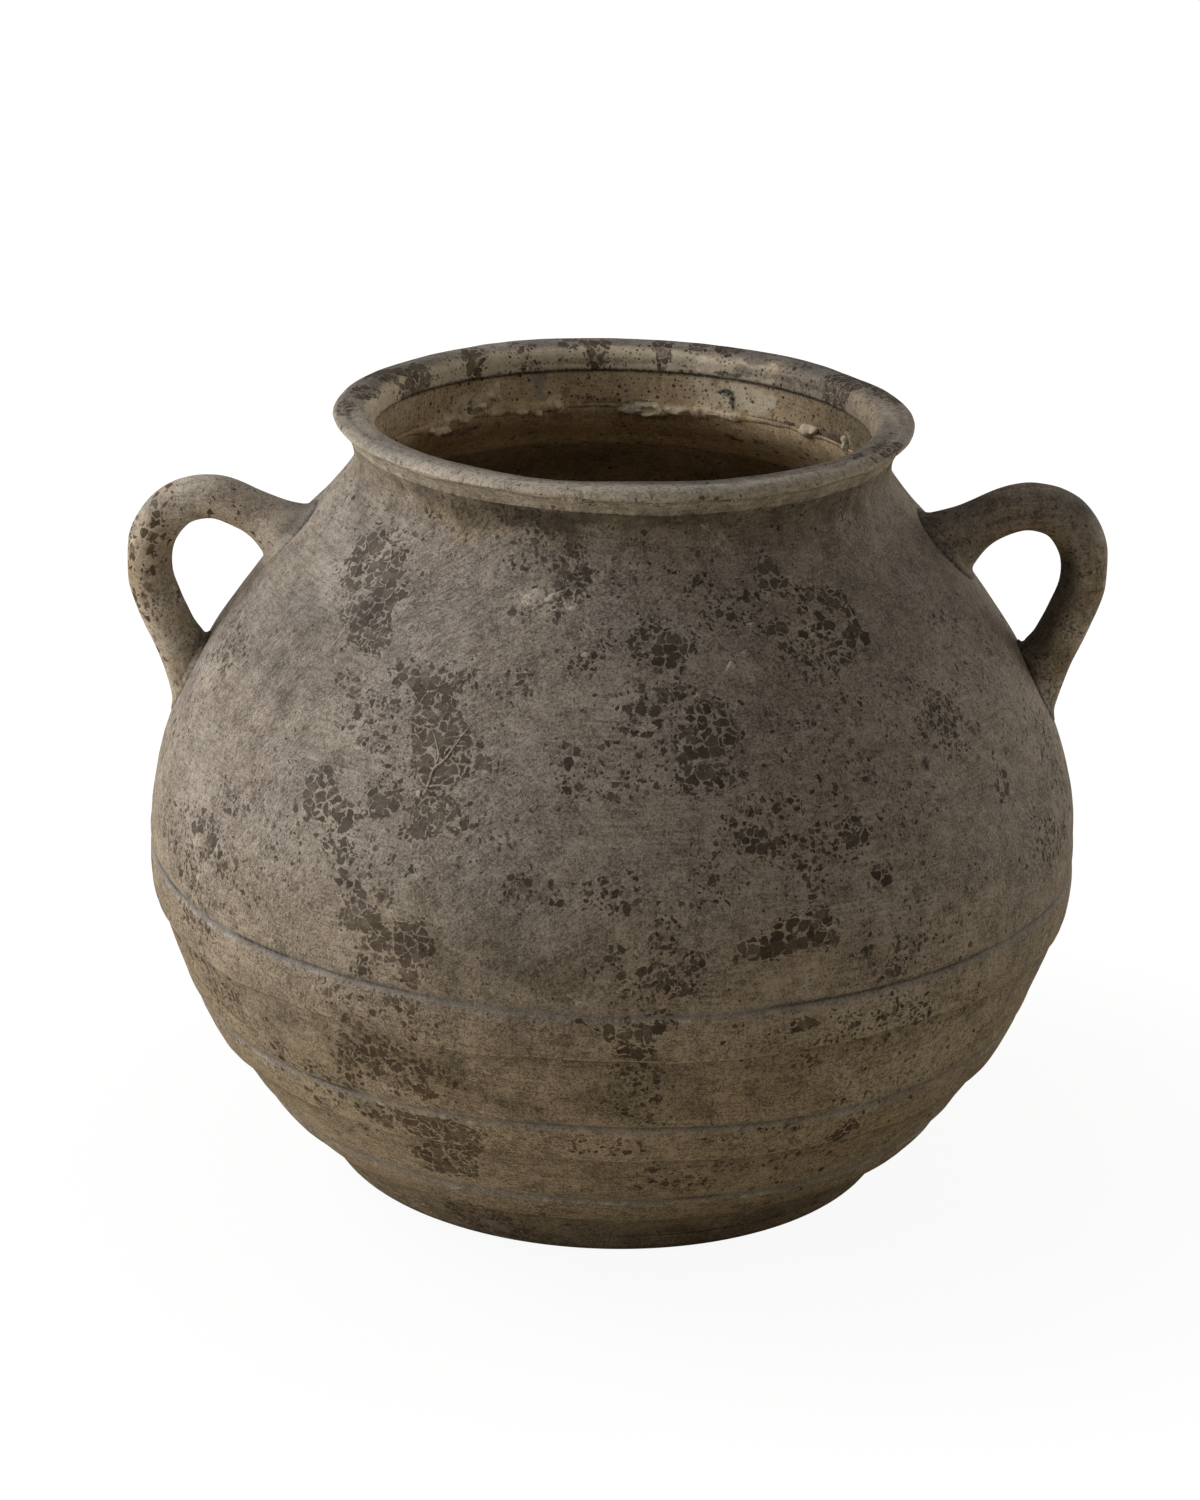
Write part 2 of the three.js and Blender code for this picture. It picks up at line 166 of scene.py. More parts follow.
# Painted shade: where the clay is darkened evenly, without grain
PAINTED_SHADE = [
    (-69, 262, 50, 44, 0, 0.24), (-12, 172, 34, 20, 0, 0.26), (-42, 108, 44, 20, -6, 0.22),
    (0, 106, 40, 20, 0, 0.22), (-87, 279, 9, 9, 20, 0.5), (-80, 272, 6, 16, -25, 0.3), (86, 284, 6, 8, -20, 0.5),
    (0, 51, 34, 16, 0, 0.16), (4, 12, 60, 12, 0, 0.18), (-21, 323, 44, 7, 0, 0.55), (54, 273, 34, 30, 0, 0.2),
]
# Dents and swellings left by the fingers, placed alike, with their height in millimetres last
DENTS = [
    (-78, 312, 4, 15, 20, -0.7), (-66, 306, 5, 18, 15, 0.6), (-54, 314, 5, 13, 10, -0.6), (-40, 318, 9, 7, 0, 0.4),
    (46, 312, 5, 14, -15, -0.6), (58, 305, 6, 16, -20, 0.5), (12, 316, 12, 6, 0, -0.4), (-14, 318, 9, 6, 0, 0.4),
    (140, 312, 6, 15, 10, -0.6), (200, 310, 7, 15, -10, 0.5), (250, 314, 5, 12, 20, -0.6),
    (-26, 236, 20, 26, 10, -0.4), (34, 286, 24, 18, 0, -0.35), (-27, 158, 16, 20, 20, -0.4),
]


def catmull_rom(points, steps):
    """A smooth line through the points, even in its parameter."""
    line = []
    last = len(points) - 1
    share = np.linspace(0, 1, steps, endpoint=False)[:, None]
    for i in range(last):
        here, there = points[i], points[i + 1]
        leave = (there - points[max(i - 1, 0)]) / 2
        arrive = (points[min(i + 2, last)] - here) / 2
        cube = (2 * here - 2 * there + leave + arrive) * share**3
        square = (3 * there - 3 * here - 2 * leave - arrive) * share**2
        line.append(cube + square + leave * share + here)
    return np.concatenate(line + [points[-1:]])


def unit(ways):
    return ways / np.linalg.norm(ways, axis=1)[:, None]


def lengths(line):
    """How far each point of a line lies from its start, along the line."""
    return np.concatenate([[0], np.cumsum(np.linalg.norm(np.diff(line, axis=0), axis=1))])


WALL_LINE = catmull_rom(OUTLINE, 160)
WALL_ALONG = unit(np.gradient(WALL_LINE, axis=0))
WALL_LENGTH = lengths(WALL_LINE)


def at_height(height, values):
    """What values along the wall's outline come to at a height."""
    return np.interp(height, WALL_LINE[:, 1], values)


def wall_radius(height):
    return at_height(height, WALL_LINE[:, 0])


def wall_normal(height):
    """The outward direction of the wall at a height, as its radial and upright share."""
    return at_height(height, WALL_ALONG[:, 1]), -at_height(height, WALL_ALONG[:, 0])


def along_wall(height):
    return at_height(height, WALL_LENGTH)


def bezier(points, count):
    """A curve over its control points, without its first point."""
    share = np.linspace(0, 1, count + 1)[1:, None]
    degree = len(points) - 1
    total = 0
    for i, point in enumerate(points):
        weight = math.comb(degree, i) * share**i * (1 - share) ** (degree - i)
        total = total + weight * np.array(point, float)
    return total


def smooth(value, low, high):
    share = np.clip((value - low) / (high - low), 0, 1)
    return share * share * (3 - 2 * share)


def hump(value, width):
    """1 where the value is 0, and less the further it is from that, softly within about its width."""
    return np.exp(-((value / width) ** 2))


def turn_from(azimuth, degrees):
    """The angle to an azimuth from a direction in degrees, the shorter way round."""
    return np.angle(np.exp(1j * (azimuth - math.radians(degrees))))


def stain(marks, name, values):
    """Lays values over a stain where they are the stronger."""
    marks[name] = np.maximum(marks.get(name, 0), values)


def waves(seed, size, count=16):
    """A smooth random field with humps about size millimetres apart, of about -1 to 1."""
    rng = np.random.default_rng(seed)
    ways = rng.normal(size=(count, 3))
    ways *= (TURN / size / 2 * rng.uniform(0.6, 1.7, count) / np.linalg.norm(ways, axis=1))[:, None]
    starts = rng.uniform(0, TURN, count)

    def field(points):
        total = np.zeros(points.shape[:-1])
        for way, start in zip(ways, starts):
            total += np.sin(points @ way + start)
        return total / math.sqrt(count)

    return field


slow_field = waves(1, 70)
lump_field = waves(2, 24)
grain_field = waves(3, 7, 24)
edge_field = waves(4, 14, 20)
crease_field = waves(5, 60)
fleck_field = waves(6, 5, 24)


def turned(azimuth, radius, height):
    """Points at an azimuth from the front, a radius and a height."""
    azimuth, radius, height = np.broadcast_arrays(azimuth, radius, height)
    return np.stack([radius * np.sin(azimuth), -radius * np.cos(azimuth), height], axis=-1)


def sway(strap, azimuth):
    angle = math.pi - azimuth
    turns, start = strap["turns"], strap["start"]
    wave = 0.6 * np.sin(turns * angle + start) + 0.4 * np.sin((turns + SECOND_WAVE) * angle + 2 * start)
    return strap["sway"] * wave


def followed(azimuth, height):
    """A row's height where it is carried along by the waves of the strap beside it."""
    moved = height + 0 * azimuth
    for strap in STRAPS.values():
        low, high = strap["low"], strap["high"]
        near = smooth(height, low - 13, low - 3) - smooth(height, high + 3, high + 13)
        moved = moved + near * sway(strap, azimuth)
    return moved


def unevenness(points):
    """How far the hand-built wall stands proud of its true form."""
    total = UNEVEN * slow_field(points) + LUMPY * lump_field(points) + GRAINY * grain_field(points)
    for row in DENTS:
        total = total + row[-1] * patches([row[:-1] + (1,)], points, 0.2)
    return total


def on_wall(azimuth, height, out=0.0):
    """A point on the outside of the wall, moved outwards."""
    plain = turned(azimuth, wall_radius(height), height)
    out = out + unevenness(plain)
    radial, upright = wall_normal(height)
    return turned(azimuth, wall_radius(height) + out * radial, height + out * upright)


def settled(points):
    """The whole vase as it dried: its foot a little to one side."""
    points = points.copy()
    low = 1 - smooth(points[..., 2], 0, FOOT_SHIFT_TOP)
    points[..., 0] += FOOT_SHIFT * low
    return points


def azimuth_of(points):
    return np.arctan2(points[..., 0], -points[..., 1])


# No patch reaches further than this many times its larger half size
FURTHEST = 2.5


def patches(rows, points, ragged=0.35, reach=1.35, fade=0.8):
    """How strongly a point lies in any of the listed patches, from 0 to 1."""
    shape = points.shape[:-1]
    points = points.reshape(-1, 3)
    azimuth = azimuth_of(points)
    along = along_wall(points[:, 2])
    edge = ragged * edge_field(points)
    total = np.zeros(len(points))
    for middle, level, half_width, half_height, tilt, strength in rows:
        limit = FURTHEST * max(half_width, half_height)
        up = along - along_wall(level)
        near = np.where(np.abs(up) < limit)[0]
        across = wall_radius(level) * ((azimuth[near] - math.radians(middle) + math.pi) % TURN - math.pi)
        near, across = near[np.abs(across) < limit], across[np.abs(across) < limit]
        up = up[near]
        c, s = math.cos(math.radians(tilt)), math.sin(math.radians(tilt))
        far = np.hypot((across * c + up * s) / half_width, (up * c - across * s) / half_height)
        total[near] = np.maximum(total[near], strength * smooth(reach - far + edge[near], 0, fade))
    return total.reshape(shape)


def random_patches(count, strengths):
    """Patches on the sides that the front view doesn't reach."""
    limits = ((88, 272), (40, 295), (12, 34), (10, 28), (-40, 40), strengths)
    return [tuple(draw.uniform(*pair) for pair in limits) for _ in range(count)]


BLISTERS += random_patches(22, (0.4, 0.95))
SOOT += random_patches(5, (0.25, 0.6))
RUST += random_patches(6, (0.3, 0.5))
DUST_AND_LIGHT += random_patches(8, (0.2, 0.6))


def outside_marks(points):
    """The stains of the outer wall, with painted shade and painted light among them, by name. A few blisters are
    strewn over all of it.
    """
    sparse = 0.15 * smooth(slow_field(points) + 0.5 * lump_field(points), -0.4, 1)
    return {
        "blister": np.maximum(patches(BLISTERS, points, 0.4, 1.6, 0.9), sparse),
        "soot": patches(SOOT, points, 0.25),
        "rust": patches(RUST, points),
        "dust": patches(DUST_AND_LIGHT, points, 0.5),
        "ochre": patches(OCHRE, points, 0.5),
        "grime_and_shade": patches(GRIME_AND_SHADE, points, 0.5),
        "smoke": patches(PAINTED_SHADE, points, 0.5, 1.5, 1.1),
    }


# Materials

CELL_DISORDER = 0.85
BLACK = (0, 0, 0, 1)
# The stains, with painted shade and painted light among them, which the materials read from the meshes by name
MARKS = ("blister", "soot", "rust", "dust", "ochre", "cream", "inner", "grime_and_shade", "haze", "pits", "smoke")


class Value:
    """What comes out of a node, with which sums can be written as in Python."""

    def __init__(self, shader, socket):
        self.shader, self.socket = shader, socket

    def __add__(self, other):
        return self.shader.math("ADD", self, other)

    def __sub__(self, other):
        return self.shader.math("SUBTRACT", self, other)

    def __rsub__(self, other):
        return self.shader.math("SUBTRACT", other, self)

    def __mul__(self, other):
        return self.shader.math("MULTIPLY", self, other)


class Shader:
    """A few words for building the nodes of a material or of the world."""

    def __init__(self, owner):
        owner.use_nodes = True
        self.tree = owner.node_tree
        self.tree.nodes.clear()

    def node(self, kind, *values, named=(), **settings):
        """A new node with the given settings. Values are fed to its first sockets, or to those named."""
        made = self.tree.nodes.new("ShaderNode" + kind)
        for key, setting in settings.items():
            setattr(made, key, setting)
        for socket, value in [*enumerate(values), *dict(named).items()]:
            if isinstance(value, Value):
                self.tree.links.new(value.socket, made.inputs[socket])
            else:
                made.inputs[socket].default_value = value
        return made

    def put(self, kind, *values, output=0, **more):
        """What comes out of a new node."""
        return Value(self, self.node(kind, *values, **more).outputs[output])

    def math(self, operation, *values):
        return self.put("Math", *values, operation=operation)

    def vector(self, operation, first, second):
        return self.put("VectorMath", first, second, operation=operation)

    def grown(self, onto, value, times):
        """A value, grown by another one a number of times."""
        return self.math("MULTIPLY_ADD", value, times, onto)

    def step(self, value, low, high, start=0.0, end=1.0):
        return self.put("MapRange", value, low, high, start, end, interpolation_type="SMOOTHSTEP")

    def mix(self, share, first, second, blend="MIX"):
        named = {0: share, 6: first, 7: second}
        return self.put("Mix", output=2, named=named, data_type="RGBA", blend_type=blend)

    def noise(self, place, scale, detail=2.0, roughness=0.5, twist=0.0, output="Fac"):
        named = dict(Vector=place, Scale=scale, Detail=detail, Roughness=roughness, Distortion=twist)
        return self.put("TexNoise", output=output, named=named)

    def cells(self, place, scale):
        """How far the middle of a cell is, and three random numbers of that cell."""
        made = self.node("TexVoronoi", named=dict(Vector=place, Scale=scale, Randomness=CELL_DISORDER))
        own = self.node("SeparateColor", Value(self, made.outputs["Color"]))
        return Value(self, made.outputs["Distance"]), [Value(self, number) for number in own.outputs]

    def strokes(self, place, size, lean=(0, 0, 0)):
        """Fine strokes of the given sizes along x, y and z, leaning by the given angles."""
        named = dict(Vector=place, Rotation=lean, Scale=size)
        return self.noise(self.put("Mapping", named=named, vector_type="TEXTURE"), 1.0, 3.0, 0.6)


def tone(red, green, blue):
    """A colour given in screen values, as light values."""
    shares = [c / 255 for c in (red, green, blue)]
    return tuple(c / 12.92 if c <= 0.04045 else ((c + 0.055) / 1.055) ** 2.4 for c in shares) + (1.0,)


def stoneware(name, light, dark, warm=0.0, toned_by_height=True, spot=(86, 75, 64), slot=None):
    """Unglazed ash-dusted clay: a mottled fibrous ground under blisters, grime, dust, soot and pinholes, and under
    painted shade and painted light.
    """
    material = bpy.data.materials.new(name)
    s = Shader(material)
    mix, step, grown = s.mix, s.step, s.grown
    place = s.put("TexCoord", output="Object")
    mark = {word: s.put("Attribute", output="Fac", attribute_name=word) for word in MARKS}
    sideways, _, up = (Value(s, along) for along in s.node("SeparateXYZ", place).outputs)

    # Places shifted a little at random, which makes cells lobed and edges ragged
    loose, tight = (
        s.vector("MULTIPLY", s.vector("SUBTRACT", s.noise(place, scale, output="Color"), (0.5,) * 3), (size,) * 3)
        for scale, size in ((130, 0.0060), (420, 0.0024)))
    wandered = s.vector("ADD", place, s.vector("ADD", loose, tight))

    broad = s.noise(place, 13, 3.0, 0.55)
    cloud = s.noise(place, 42, 4.0, 0.6)
    mottle = s.noise(place, 150, 3.0, 0.65)
    fibre = s.noise(place, 380, 4.0, 0.7, 1.4)
    grain = s.noise(place, 1300, 3.0, 0.8)
    leaning = s.strokes(place, (0.0012, 0.0012, 0.008), (0, 0.9, 0))
    level = s.strokes(place, (0.010, 0.010, 0.0011))
    upright = s.strokes(place, (0.0013, 0.0013, 0.010), (0.2, -0.15, 0))
    brown = step(up, 0.20, 0.10) if toned_by_height else 0.0
    swept = s.math("MAXIMUM", step(broad, 0.42, 0.58), brown)
    strokes = s.put("Mix", named={0: swept, 2: leaning, 3: level}, data_type="FLOAT") + upright * 0.6 - 0.3

    # Ground colour: the clay, browner low down, darker on the tooled neck, partly as painted shade under the rim,
    # darker still towards the foot, and the plain clay of the inside
    shade = 0.5
    for field, weight in ((broad, 0.5), (cloud, 0.7), (mottle, 1.0), (fibre, 1.6), (strokes, 1.25), (grain, 2.8)):
        shade = grown(shade, field - 0.5, weight)
    shade = grown(shade, grain * 1.2 + fibre * 0.8 - 1.0, brown)
    tint = mix(step(s.noise(place, 24, 3.0, 0.6), 0.36, 0.64), (0.995, 1.0, 1.02, 1), (1.015, 1.0, 0.975, 1))
    ground = mix(1.0, mix(shade, dark, light), tint, "MULTIPLY")
    clays = [(warm, (96, 80, 60), (172, 150, 120))] if warm else []
    if toned_by_height:
        clays += [(brown * 0.85, (102, 88, 70), (181, 163, 137)),
                  (step(up, 0.300, 0.321) * 0.7, (78, 69, 57), (146, 133, 114)),
                  (step(up, 0.05, 0.008) * 0.5, (66, 56, 44), (112, 98, 78))]
    for share, low, high in clays + [(mark["inner"], (172, 146, 108), (246, 219, 178))]:
        ground = mix(share, ground, mix(shade, tone(*low), tone(*high)))

    # Grime with painted shade, dusty haze, ash with painted light, ochre, and cream clay with painted light
    for word, where, strength, colour in (
            ("grime_and_shade", step(mottle, 0.7, 0.35, 0.5, 1.0), 0.85, (74, 68, 52)),
            ("haze", step(fibre, 0.35, 0.6, 0.5, 1.0), 0.8, (144, 143, 144)),
            ("dust", step(fibre, 0.4, 0.62), 0.9, (206, 195, 178)),
            ("ochre", step(fibre + strokes, 0.88, 1.16), 0.75, (178, 154, 118))):
        ground = mix(mark[word] * where * strength, ground, tone(*colour))
    cream = mix(shade, tone(228, 207, 171), tone(254, 243, 219))
    ground = mix(mark["cream"] * step(mottle, 0.3, 0.6, 0.7, 1.0), ground, cream)

    # Blisters: dark rounded islands, larger in some places than in others. Where a patch is thick they stand
    # close together with a pale net between them, and small ones are strewn around it.
    thick = step(mark["blister"], 0.5, 0.85)
    coarse = step(grown(s.noise(place, 34), thick, 0.11), 0.49, 0.55)
    fine, strewn = 1.0 - coarse, 1.0 - thick
    ragged = grown((fibre - 0.5) * 0.22, mottle - 0.5, 0.5)
    island = net = border = 0.0
    for scale, part, low, share, size in ((200, coarse, 0.10, 1.3, 0.31), (320, fine, 0.04, 1.5, 0.32),
                                          (500, strewn, 0.0, 1.0, 0.26)):
        distance, own = s.cells(wandered, scale)
        there = step((mark["blister"] - low) * (part * share) - own[0], -0.02, 0.03)
        margin = grown(grown(size, own[1], 0.2), thick, 0.36) - distance
        body = step(margin, -0.03, 0.05)
        if part is not strewn:
            named = dict(Vector=wandered, Scale=scale, Randomness=CELL_DISORDER)
            edge = s.put("TexVoronoi", output="Distance", named=named, feature="DISTANCE_TO_EDGE") + ragged
            body = body * step(edge, 0.01, 0.08)
            net = s.math("MAXIMUM", net, step(edge, 0.07, 0.01) * (there * thick))
        spot_here = body * there * grown(0.68, own[2], 0.32)
        island = s.math("MAXIMUM", island, spot_here)
        border = s.math("MAXIMUM", border, spot_here * step(margin, 0.16, 0.04))
    rusty = s.math("MAXIMUM", brown * 0.9, mark["rust"])
    inside = mix(rusty, tone(*spot), tone(84, 64, 44))
    darker = mix(1.0, inside, (0.55, 0.54, 0.53, 1), "MULTIPLY")
    inside = mix(step(mottle, 0.7, 0.4, 0.0, 0.7), inside, darker)
    inside = mix(step(grain, 0.54, 0.66, 0.0, 0.35), inside, mix(0.5, inside, tone(150, 138, 124)))
    inside = mix(border * 0.45, inside, tone(50, 41, 34))
    # Blisters on the right of the body are painted darker, as shade
    if toned_by_height:
        inside = mix(step(sideways, -0.07, 0.03, 0.0, 0.36), inside, BLACK)
    rust = mark["rust"] * step(s.noise(wandered, 240, 3.0, 0.6), 0.52, 0.64)
    # Soot, with painted shade in creases, seams and under edges
    soot = mark["soot"] * step(fibre, 0.64, 0.42, 0.5, 1.0)

    # Pinholes, more of them in pitted places, and pale specks
    distance, own = s.cells(place, 230)
    pin = step(distance - mark["pits"] * 0.07, 0.17, 0.08) * step(own[0] - mark["pits"] * 0.45, 0.16, 0.14)
    distance, own = s.cells(place, 520)
    tiny = step(distance, 0.34, 0.2) * step(own[0], 0.6, 0.5) * (mark["pits"] * 0.75)
    fleck = step(distance, 0.34, 0.16) * step(own[1], 0.86, 0.9)

    # Thin pale scratches, in places
    vein = step(s.math("ABSOLUTE", s.noise(place, 48, 3.0, 0.55) - 0.5), 0.0075, 0.002)
    vein = vein * step(s.noise(wandered, 70), 0.56, 0.64)

    # All of these over the ground, from the lowest layer to the painted shade
    hole = tone(44, 38, 33)
    for share, colour in (
            (net * 0.35, tone(196, 184, 168)), (island * 0.95, inside), (rust * 0.45, tone(100, 74, 46)),
            (soot, tone(58, 57, 56)), (pin * 0.8, hole), (tiny, hole), (fleck * 0.3, tone(206, 196, 180)),
            (vein * 0.4, tone(214, 206, 194)), (mark["smoke"] * 0.7, BLACK)):
        ground = mix(share, ground, colour)

    # Relief in millimetres
    relief = 0.0
    for field, rise in ((grain, 0.14), (fibre, 0.26), (mottle, 0.3), (island, -0.14)):
        relief = grown(relief, field, rise)
    bump = s.put("Bump", named=dict(Strength=1.0, Distance=MM, Height=relief))
    rough = step(fibre, 0.3, 0.7, 0.74, 0.94)
    named = {"Base Color": ground, "Roughness": rough, "Normal": bump, "Specular IOR Level": 0.25}
    s.node("OutputMaterial", s.put("BsdfPrincipled", named=named))
    return material, slot or name


LIGHT = tone(184, 173, 161)
DARK = tone(102, 92, 83)
body_clay = stoneware("body_clay", LIGHT, DARK)
strap_clay = stoneware("strap_clay", LIGHT, DARK)
neck_clay = stoneware("neck_clay", LIGHT, DARK)
rim_clay = stoneware("rim_clay", tone(214, 202, 187), tone(134, 123, 110), 0.05, False, (104, 85, 70))
squeezed_clay = stoneware("squeezed_clay", tone(222, 204, 174), tone(146, 126, 98), 0.2, False)
# The handles share one clay, made paler for the left handle, on the lamp side, as painted light
left_clay = stoneware("left_clay", tone(240, 228, 213), tone(150, 138, 124), 0.05, False, slot="handle_clay")
right_clay = stoneware("right_clay", tone(184, 171, 155), tone(104, 94, 82), 0.15, False, slot="handle_clay")


# Meshes

def placed(name, data):
    """A new object in the scene."""
    made = bpy.data.objects.new(name, data)
    bpy.context.scene.collection.objects.link(made)
    return made


def build(name, points, faces, clay, marks, replaces=True, flat=()):
    """One visible piece: a smooth mesh with its stains as attributes, riding on the body of the vase."""
    material, slot = clay
    mesh = bpy.data.meshes.new(name)
    points = settled(points.reshape(-1, 3)) * MM
    mesh.vertices.add(len(points))
    mesh.vertices.foreach_set("co", points.astype(np.float32).ravel())
    corners = np.concatenate(faces)
    sizes = np.array([len(face) for face in faces])
    mesh.loops.add(len(corners))
    mesh.loops.foreach_set("vertex_index", corners.astype(np.int32))
    mesh.polygons.add(len(sizes))
    mesh.polygons.foreach_set("loop_start", (np.cumsum(sizes) - sizes).astype(np.int32))
    mesh.update(calc_edges=True)
    mesh.validate()
    soft = np.ones(len(mesh.polygons), bool)
    soft[list(flat)] = False
    mesh.polygons.foreach_set("use_smooth", soft)
    for mark in MARKS:
        values = np.broadcast_to(np.reshape(marks.get(mark, 0.0), -1), len(points))
        mesh.attributes.new(mark, "FLOAT", "POINT").data.foreach_set("value", values.astype(np.float32))
    mesh.materials.append(material)
    piece = placed(name, mesh)
    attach(piece, "root")
    if replaces:
        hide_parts(name)


def ring_faces(columns, rows, around=True, outward=True):
    """Quads over a grid of columns and rows that closes on itself along the rows, and also round the axis."""
    column, row = np.meshgrid(np.arange(columns if around else columns - 1), np.arange(rows), indexing="ij")
    column, row = column.ravel(), row.ravel()
    after = (column + 1) % columns
    above = (row + 1) % rows
    quads = np.stack([column * rows + row, after * rows + row, after * rows + above, column * rows + above], axis=1)
    return quads if outward else quads[:, ::-1]


def capped_faces(columns, rows):
    """Quads over a grid whose first and last rows are closed by a flat face."""
    quads = ring_faces(columns, rows)
    faces = [tuple(q) for q in quads[quads[:, 0] % rows != rows - 1]]
    faces.append(tuple(int(c) * rows for c in range(columns))[::-1])
    faces.append(tuple(int(c) * rows + rows - 1 for c in range(columns)))
    return faces


def build_ring(name, grid, clay, marks, joins=(), outward=True):
    """A piece that goes round the vase. Its quads that start at the joins' rows are shaded flat."""
    columns, rows = grid.shape[:2]
    flat = [column * rows + row for row in joins for column in range(columns)]
    build(name, grid, ring_faces(columns, rows, outward=outward), clay, marks, flat=flat)


def build_wall(name, outer, inner, clay, marks, fills):
    """A ring of wall from the grids of its two sides, and the stains of each."""
    grid = np.concatenate([outer, inner], axis=1)
    sides = ((marks, outer), (fills, inner))
    both = {}
    for mark in MARKS:
        values = [np.broadcast_to(own.get(mark, 0.0), side.shape[:2]) for own, side in sides]
        both[mark] = np.concatenate(values, axis=1)
    build_ring(name, grid, clay, both, (outer.shape[1] - 1, grid.shape[1] - 1))


def azimuths(columns):
    return (np.arange(columns) / columns * TURN)[:, None]


# Radii at which a field is read along a strap's edge
CREASE_RADIUS = 190.0
UNDER_RADIUS = 170.0
# The crease pressed into the wall above a strap, and the low swelling over it
CREASE_DEPTH, CREASE_WIDTH = 0.5, 0.8
SWELLING, SWELLING_AT, SWELLING_WIDTH = 0.5, 4.5, 4.0
# The groove between collar and rim
GROOVE_DEPTH, GROOVE_WIDTH = 2.2, 0.6
# The ledge under the rim's lip, and the ring crease on the rim's top, which lies so far beyond the flare
LEDGE_DEPTH = 0.45
RING_CREASE_AT, RING_CREASE_DEPTH, RING_CREASE_WIDTH = 7.6, 0.22, 0.9


def crease_dark(azimuth, strap):
    """How deep the crease above a strap is, and how dark its painted shade is, from 0 to 1."""
    points = turned(azimuth, CREASE_RADIUS, strap["high"])
    total = 0.45 * smooth(crease_field(points) + 0.35 * edge_field(points), -0.4, 1.0)
    for middle, half_width, strength in strap["dark"]:
        away = np.abs(turn_from(azimuth, middle)) / math.radians(half_width)
        total = np.maximum(total, strength * smooth(1.2 - away, 0, 0.5))
    return total


def crease_marks(azimuth, strap, above, points, marks):
    """Adds the painted shade line and the grey haze that lie in a strap's upper crease. above is the distance over
    it.
    """
    darkness = crease_dark(azimuth, strap)
    core = hump(above - 0.2, 0.5 + 0.5 * darkness)
    stain(marks, "soot", core * (0.15 + 0.8 * darkness))
    stain(marks, "soot", 0.22 * hump(above, 1.7))
    broken = 0.6 + 0.4 * smooth(edge_field(points), -0.8, 0.8)
    stain(marks, "haze", 0.95 * broken * hump(above + 0.6, 2.2))
    marks["blister"] = marks["blister"] * (1 - 0.9 * hump(above + 0.6, 2.0))
    pale = hump(above + 2.2, 0.9) * (1 - 0.6 * darkness)
    stain(marks, "dust", pale * smooth(fleck_field(points) + edge_field(points), 0.3, 1.3))


def under_marks(azimuth, strap, below, marks):
    """Adds the painted shadow under a strap's lower edge: a dark line at it and shade fading below. below is the
    distance under it.
    """
    strength = 0.6 + 0.4 * smooth(crease_field(turned(azimuth, UNDER_RADIUS, strap["low"])), -0.5, 0.7)
    fade = np.exp(-np.clip(below, 0, None) / 6.5) * (below > -1.5)
    stain(marks, "grime_and_shade", strength * fade)
    stain(marks, "soot", 0.75 * strength * hump(below - 0.2, 0.8))


def fine_ends(rows):
    """The rows with closer ones added beside the first and the last, so that neighbours' shading meets."""
    near = np.array([0.25, 0.6, 1.1])
    inner = rows[(rows > rows[0] + 1.4) & (rows < rows[-1] - 1.4)]
    return np.concatenate([rows[:1], rows[0] + near, inner, (rows[-1] - near)[::-1], rows[-1:]])


def row_heights(low, high):
    """Heights of the wall's rows: close beside a crease, far apart where a strap hides the wall."""
    rows = [low]
    while rows[-1] < high:
        here = rows[-1]
        step = 2.3
        for strap in STRAPS.values():
            over = here - strap["high"]
            under = strap["low"] - here
            if -0.8 <= over < 1.2:
                step = 0.4
            elif 1.2 <= over < 4:
                step = 0.9
            elif over < -0.8 and under < -2:
                step = min(4.0, -0.8 - over + 0.01)
            elif -2 <= under < 2.5:
                step = 0.6
            elif 2.5 <= under < 10:
                step = 1.5
        rows.append(min(here + step, high))
    if rows[-1] - rows[-2] < 0.2:
        del rows[-2]
    return fine_ends(np.array(rows))


def inner_patches(rows, points):
    """Patches on the inner wall of the neck: azimuth and height of the middle, half width and half height."""
    azimuth = azimuth_of(points)
    edge = 0.45 * fleck_field(points)
    total = np.zeros(points.shape[:-1])
    for middle, level, half_width, half_height, strength in rows:
        turn = turn_from(azimuth, middle)
        far = np.hypot(COLLAR_RADIUS * turn / half_width, (points[..., 2] - level) / half_height)
        total = np.maximum(total, strength * smooth(1.25 - far + edge, 0, 0.35))
    return total


def right_side(points):
    """Where the right of the neck's inside is painted darker, as shade, from 0 to 1."""
    turn = np.degrees(azimuth_of(points))
    return smooth(turn, 158, 118) * smooth(turn, 25, 55)


CREAM = [
    (-147, 317, 5, 5, 0.95), (-142, 314, 6, 5, 0.8), (-137, 310, 7, 4, 0.8), (-131, 306, 8, 2.6, 0.9),
    (-126, 305, 5, 1.6, 0.8), (-154.5, 308, 3.5, 2, 0.9), (-163.6, 309, 4, 3.5, 0.9), (-158, 307, 2, 1.5, 0.7),
    (171, 308.5, 16, 3, 1.0), (158, 309, 10, 2, 0.85), (152, 318, 15, 8, 1.0), (130.5, 310.6, 5, 2.4, 0.9),
    (115, 311, 4, 4, 0.9), (-90, 308, 20, 3, 0.4), (30, 309, 40, 3, 0.4), (-20, 309, 40, 3, 0.4),
]
